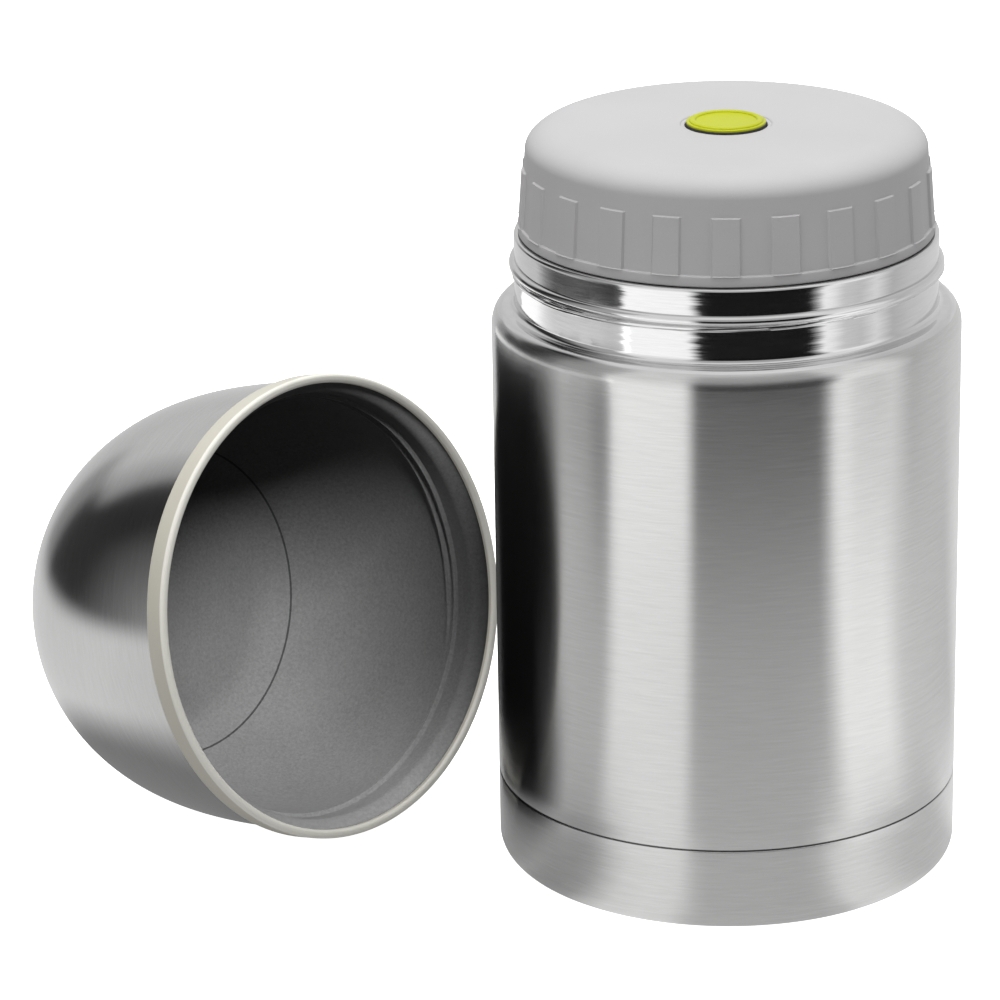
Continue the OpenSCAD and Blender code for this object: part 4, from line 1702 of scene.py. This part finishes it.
@dataclass(frozen=True)
class Table:
    """The near part of the table, which only shows as a reflection in the steel; sizes in metres.

    Levels and reaches run round the horizon by their angle from the front. The near levels change into the
    far ones between the two radii of near_r, and the disc fades out between those of edge_r, which more_reach
    moves outwards. The spot is a painted shadow under the cup: the glow dims there from the inner to the outer
    radius, standing in for the cup's contact shadow as the steel reflects it.
    """

    edge_r: Point = (0.24, 0.36)
    near_r: Point = (0.08, 0.12)
    # Middle of the painted shadow under the cup.
    spot: Point = (-0.118, 0.02)
    shadow_spot_r: Point = (0.035, 0.07)
    shadow_spot_level: float = 0.3
    columns: int = 96
    far_levels: tuple[Point, ...] = (
        (-180, 0.85), (-150, 0.8), (-110, 0.8), (-90, 0.85), (-76, 0.72), (-66, 0.64), (-55, 0.66),
        (-48, 1.1), (-18, 1.0), (-13, 0.62), (42, 0.62), (46, 0.8), (53, 1.27), (74, 1.27), (85, 0.9),
        (92, 0.85), (126, 0.68), (140, 0.85), (180, 0.85),
    )
    near_levels: tuple[Point, ...] = (
        (-180, 0.85), (-120, 0.6), (-88, 0.37), (-77, 0.39), (-68, 0.47), (-61, 0.39), (-53, 0.38),
        (-46, 0.46), (-40, 0.72), (-34, 0.93), (-24, 1.0), (-16, 0.95), (-10, 0.7), (-6, 0.62), (26, 0.6),
        (32, 0.68), (38, 0.95), (46, 0.97), (52, 0.9), (59, 0.78), (67, 0.69), (90, 0.68), (105, 0.9),
        (180, 0.85),
    )
    more_reach: tuple[Point, ...] = (
        (-180, 0.0), (-138, 0.0), (-126, 0.08), (-68, 0.08), (-60, 0.0), (180, 0.0),
    )

    def build(self) -> None:
        """Builds the disc and its glow."""
        count, reach = self.columns, self.edge_r[1] + max(more for _, more in self.more_reach)
        low = -2 * FLOOR_GAP
        verts = [(0.0, 0.0, low)]
        verts += [(float(reach * math.cos(t)), float(reach * math.sin(t)), low) for t in ring_angles(count)]
        mesh = bpy.data.meshes.new("near_table")
        mesh.from_pydata(verts, [], [(0, 1 + k, 1 + (k + 1) % count) for k in range(count)])
        disc = link("near_table", mesh)
        material = bpy.data.materials.new("near_table")
        material.use_nodes = True
        self.glow(Nodes(material.node_tree))
        mesh.materials.append(material)
        only_glossy(disc)

    def glow(self, g: Nodes) -> None:
        """Adds the nodes of the disc's glow.

        Args:
            g: The material's nodes.
        """
        x, y, _ = g.split(g.new("ShaderNodeTexCoord").outputs["Object"])
        share = g.horizon(x, y)
        rounds = (self.near_levels, self.far_levels, self.more_reach)
        near, wide, more = (g.ramp(share, panels) for panels in rounds)
        far = g.distance(x, y)
        level = g.mix(g.ease(far, self.near_r), near, wide)
        # Painted shadow: the glow dims round the spot under the cup.
        under = g.ease(g.distance(x, y, self.spot), self.shadow_spot_r)
        level = g.calc("MULTIPLY", level, g.mix(under, self.shadow_spot_level, 1.0))
        emission, mixed = g.new("ShaderNodeEmission"), g.new("ShaderNodeMixShader")
        g.put(level, emission.inputs["Strength"])
        g.put(g.ease(g.calc("SUBTRACT", far, more), self.edge_r), mixed.inputs[0])
        g.put(emission.outputs[0], mixed.inputs[1])
        g.put(g.new("ShaderNodeBsdfTransparent").outputs[0], mixed.inputs[2])
        g.put(mixed.outputs[0], g.new("ShaderNodeOutputMaterial").inputs["Surface"])


@dataclass(frozen=True)
class BlackCard:
    """The black card between the jar and the cup, which only shows as a reflection in the steel.

    Sizes are in millimetres. It stands on the line between its two feet and fades out towards its front.
    """

    feet: tuple[Point, Point] = ((-64.5, 25.7), (-83.3, -40.0))
    top: float = 108.0
    fade: Point = (-38.0, -14.0)

    def build(self) -> None:
        """Builds the card."""
        low = [(x * MM, y * MM, -FLOOR_GAP) for x, y in self.feet]
        high = [(x * MM, y * MM, self.top * MM) for x, y in self.feet]
        mesh = bpy.data.meshes.new("black_card")
        mesh.from_pydata(low + high[::-1], [], [(0, 1, 2, 3)])
        card = link("black_card", mesh)
        g = Graph("card_paper")
        g.tint(g.noise(g.place, scale=300.0), grey(0.008), grey(0.014))
        g.fix(Roughness=0.9, Specular_IOR_Level=0.0)
        front, back = self.fade
        g.put(g.span(g.split(g.place)[1], (front * MM, back * MM)), g.shader.inputs["Alpha"])
        mesh.materials.append(g.material)
        only_glossy(card)


@dataclass(frozen=True)
class Room:
    """The light of the room: panels and shades round the horizon, a pale floor and a pale ceiling.

    Panels are angles from the front, rising to the right, and levels there. Each edge is the pair of
    heights, as sines of the elevation, between which one zone changes into the next.
    """

    deep_panels: tuple[Point, ...] = (
        (-180, 0.9), (-150, 0.9), (-124, 0.85), (-114, 0.3), (-106, 0.08), (-90, 0.06), (-64, 0.06),
        (-59, 0.1), (-56, 1.65), (-20, 1.6), (-14, 0.03), (-9, 0.01), (46, 0.01), (50, 0.5), (54, 1.5),
        (60, 1.3), (66, 0.95), (77, 0.85), (88, 1.15), (101, 0.72), (118, 0.87), (140, 0.95), (180, 0.9),
    )
    low_panels: tuple[Point, ...] = (
        (-180, 0.9), (-150, 0.9), (-126, 0.85), (-117, 0.82), (-97, 0.86), (-87, 0.8), (-76, 0.4),
        (-63, 0.1), (-60, 0.12), (-57, 1.65), (-20, 1.6), (-14, 0.03), (-9, 0.01), (46, 0.01), (50, 0.5),
        (54, 1.5), (60, 1.3), (66, 0.95), (77, 0.85), (88, 1.15), (101, 0.72), (118, 0.87), (140, 0.95),
        (180, 0.9),
    )
    mid_panels: tuple[Point, ...] = (
        (-180, 0.95), (-170, 0.85), (-163, 0.82), (-150, 0.8), (-144, 0.45), (-136, 0.35), (-131, 0.06),
        (-108, 0.04), (-99, 0.14), (-92, 0.26), (-86, 0.5), (-62, 0.6), (-57, 1.4), (-20, 1.35),
        (-14, 0.03), (-9, 0.01), (46, 0.01), (51, 0.3), (58, 1.45), (77, 1.35), (88, 1.2), (101, 0.72),
        (118, 0.87), (140, 0.95), (180, 0.95),
    )
    high_panels: tuple[Point, ...] = (
        (-180, 0.9), (-163, 0.88), (-140, 0.9), (-131, 0.62), (-127, 0.55), (-122, 0.05), (-107, 0.03),
        (-99, 0.14), (-92, 0.3), (-86, 0.5), (-60, 0.6), (-52, 1.15), (-23, 1.1), (-13, 0.6), (45, 0.6),
        (56, 1.2), (86, 1.2), (98, 0.75), (140, 0.85), (180, 0.9),
    )
    deep_edge: Point = (-0.275, -0.255)
    low_edge: Point = (-0.22, -0.1)
    mid_edge: Point = (0.2, 0.3)
    floor_edge: Point = (-0.72, -0.56)
    floor_level: float = 0.85
    ceiling_edge: Point = (0.72, 0.9)
    ceiling_level: float = 1.1

    def build(self) -> None:
        """Lights the room."""
        world = bpy.data.worlds.new("studio")
        world.use_nodes = True
        bpy.context.scene.world = world
        g = Nodes(world.node_tree)
        x, y, height = g.split(g.new("ShaderNodeTexCoord").outputs["Generated"])
        share = g.horizon(x, y)
        level, *zones = (
            g.ramp(share, panels)
            for panels in (self.deep_panels, self.low_panels, self.mid_panels, self.high_panels)
        )
        for edge, zone in zip((self.deep_edge, self.low_edge, self.mid_edge), zones):
            level = g.mix(g.ease(height, edge), level, zone)
        level = g.mix(g.ease(height, self.floor_edge), self.floor_level, level)
        level = g.mix(g.ease(height, self.ceiling_edge), level, self.ceiling_level)
        light = g.new("ShaderNodeBackground")
        g.put(level, light.inputs["Strength"])
        g.put(light.outputs[0], g.new("ShaderNodeOutputWorld").inputs["Surface"])


@dataclass
class Studio:
    """The camera, the sweep and the lights, with the table, card and strips that only show in gloss."""

    lens: float = 163.133
    sensor: float = 36.0
    clip: Point = (0.05, 40.0)
    eye: Place = (0.0, -0.90447, 0.40114)
    right: Place = (0.99875791, 0.04697096, -0.01662456)
    up: Place = (-0.00016311, 0.33673147, 0.94160070)
    sweep: Sweep = Sweep()
    table: Table = Table()
    room: Room = Room()
    card: BlackCard = BlackCard()
    strips: StripLights = StripLights()
    overhead: SoftBox = SoftBox("overhead", (-0.1, 0.1, 1.6), (1.4, 1.4), 31.0)
    front: SoftBox = SoftBox("front", (-0.3, -1.6, 0.6), (1.4, 1.4), 5.5)
    cup_glow: SoftBox = SoftBox("cup_glow", (0.12, -0.42, 0.64), (0.26, 0.26), 56.0)

    def camera(self) -> None:
        """Puts the camera where the pictured view was taken from."""
        data = bpy.data.cameras.new("camera")
        data.lens = self.lens
        data.sensor_width = self.sensor
        data.clip_start, data.clip_end = self.clip
        eye = link("camera", data)
        right, up = Vector(self.right).normalized(), Vector(self.up).normalized()
        turn = Matrix((right, up, right.cross(up).normalized())).transposed().to_4x4()
        eye.matrix_world = Matrix.Translation(self.eye) @ turn
        bpy.context.scene.camera = eye

    def light_cup(self, bowl: bpy.types.Object) -> None:
        """Adds the soft light that falls past the upper rim into the lying cup.

        Args:
            bowl: The cup's liner, the only piece that this light reaches.
        """
        reached = bpy.data.collections.new("cup_glow_reaches")
        reached.objects.link(bowl)
        self.cup_glow.build().light_linking.receiver_collection = reached

    def make(self) -> None:
        """Builds the studio."""
        self.camera()
        for thing in (self.sweep, self.table, self.room, self.overhead, self.front, self.card, self.strips):
            thing.build()
        bpy.context.scene.view_settings.view_transform = "Standard"


def main() -> None:
    """Builds the studio and the jar, and reports each piece."""
    logging.basicConfig(level=logging.INFO, format="%(name)s: %(message)s")
    studio = Studio()
    studio.make()
    finishes = Finishes()
    for assembly in (Vessel(finishes), Stopper(finishes), Valve(finishes), Cup(finishes)):
        for piece in assembly.make():
            LOG.info("%s: %s with %d faces", type(assembly).__name__, piece.name, len(piece.data.polygons))
    studio.light_cup(bpy.data.objects["cup_bowl"])


if __name__ == "__main__":
    main()
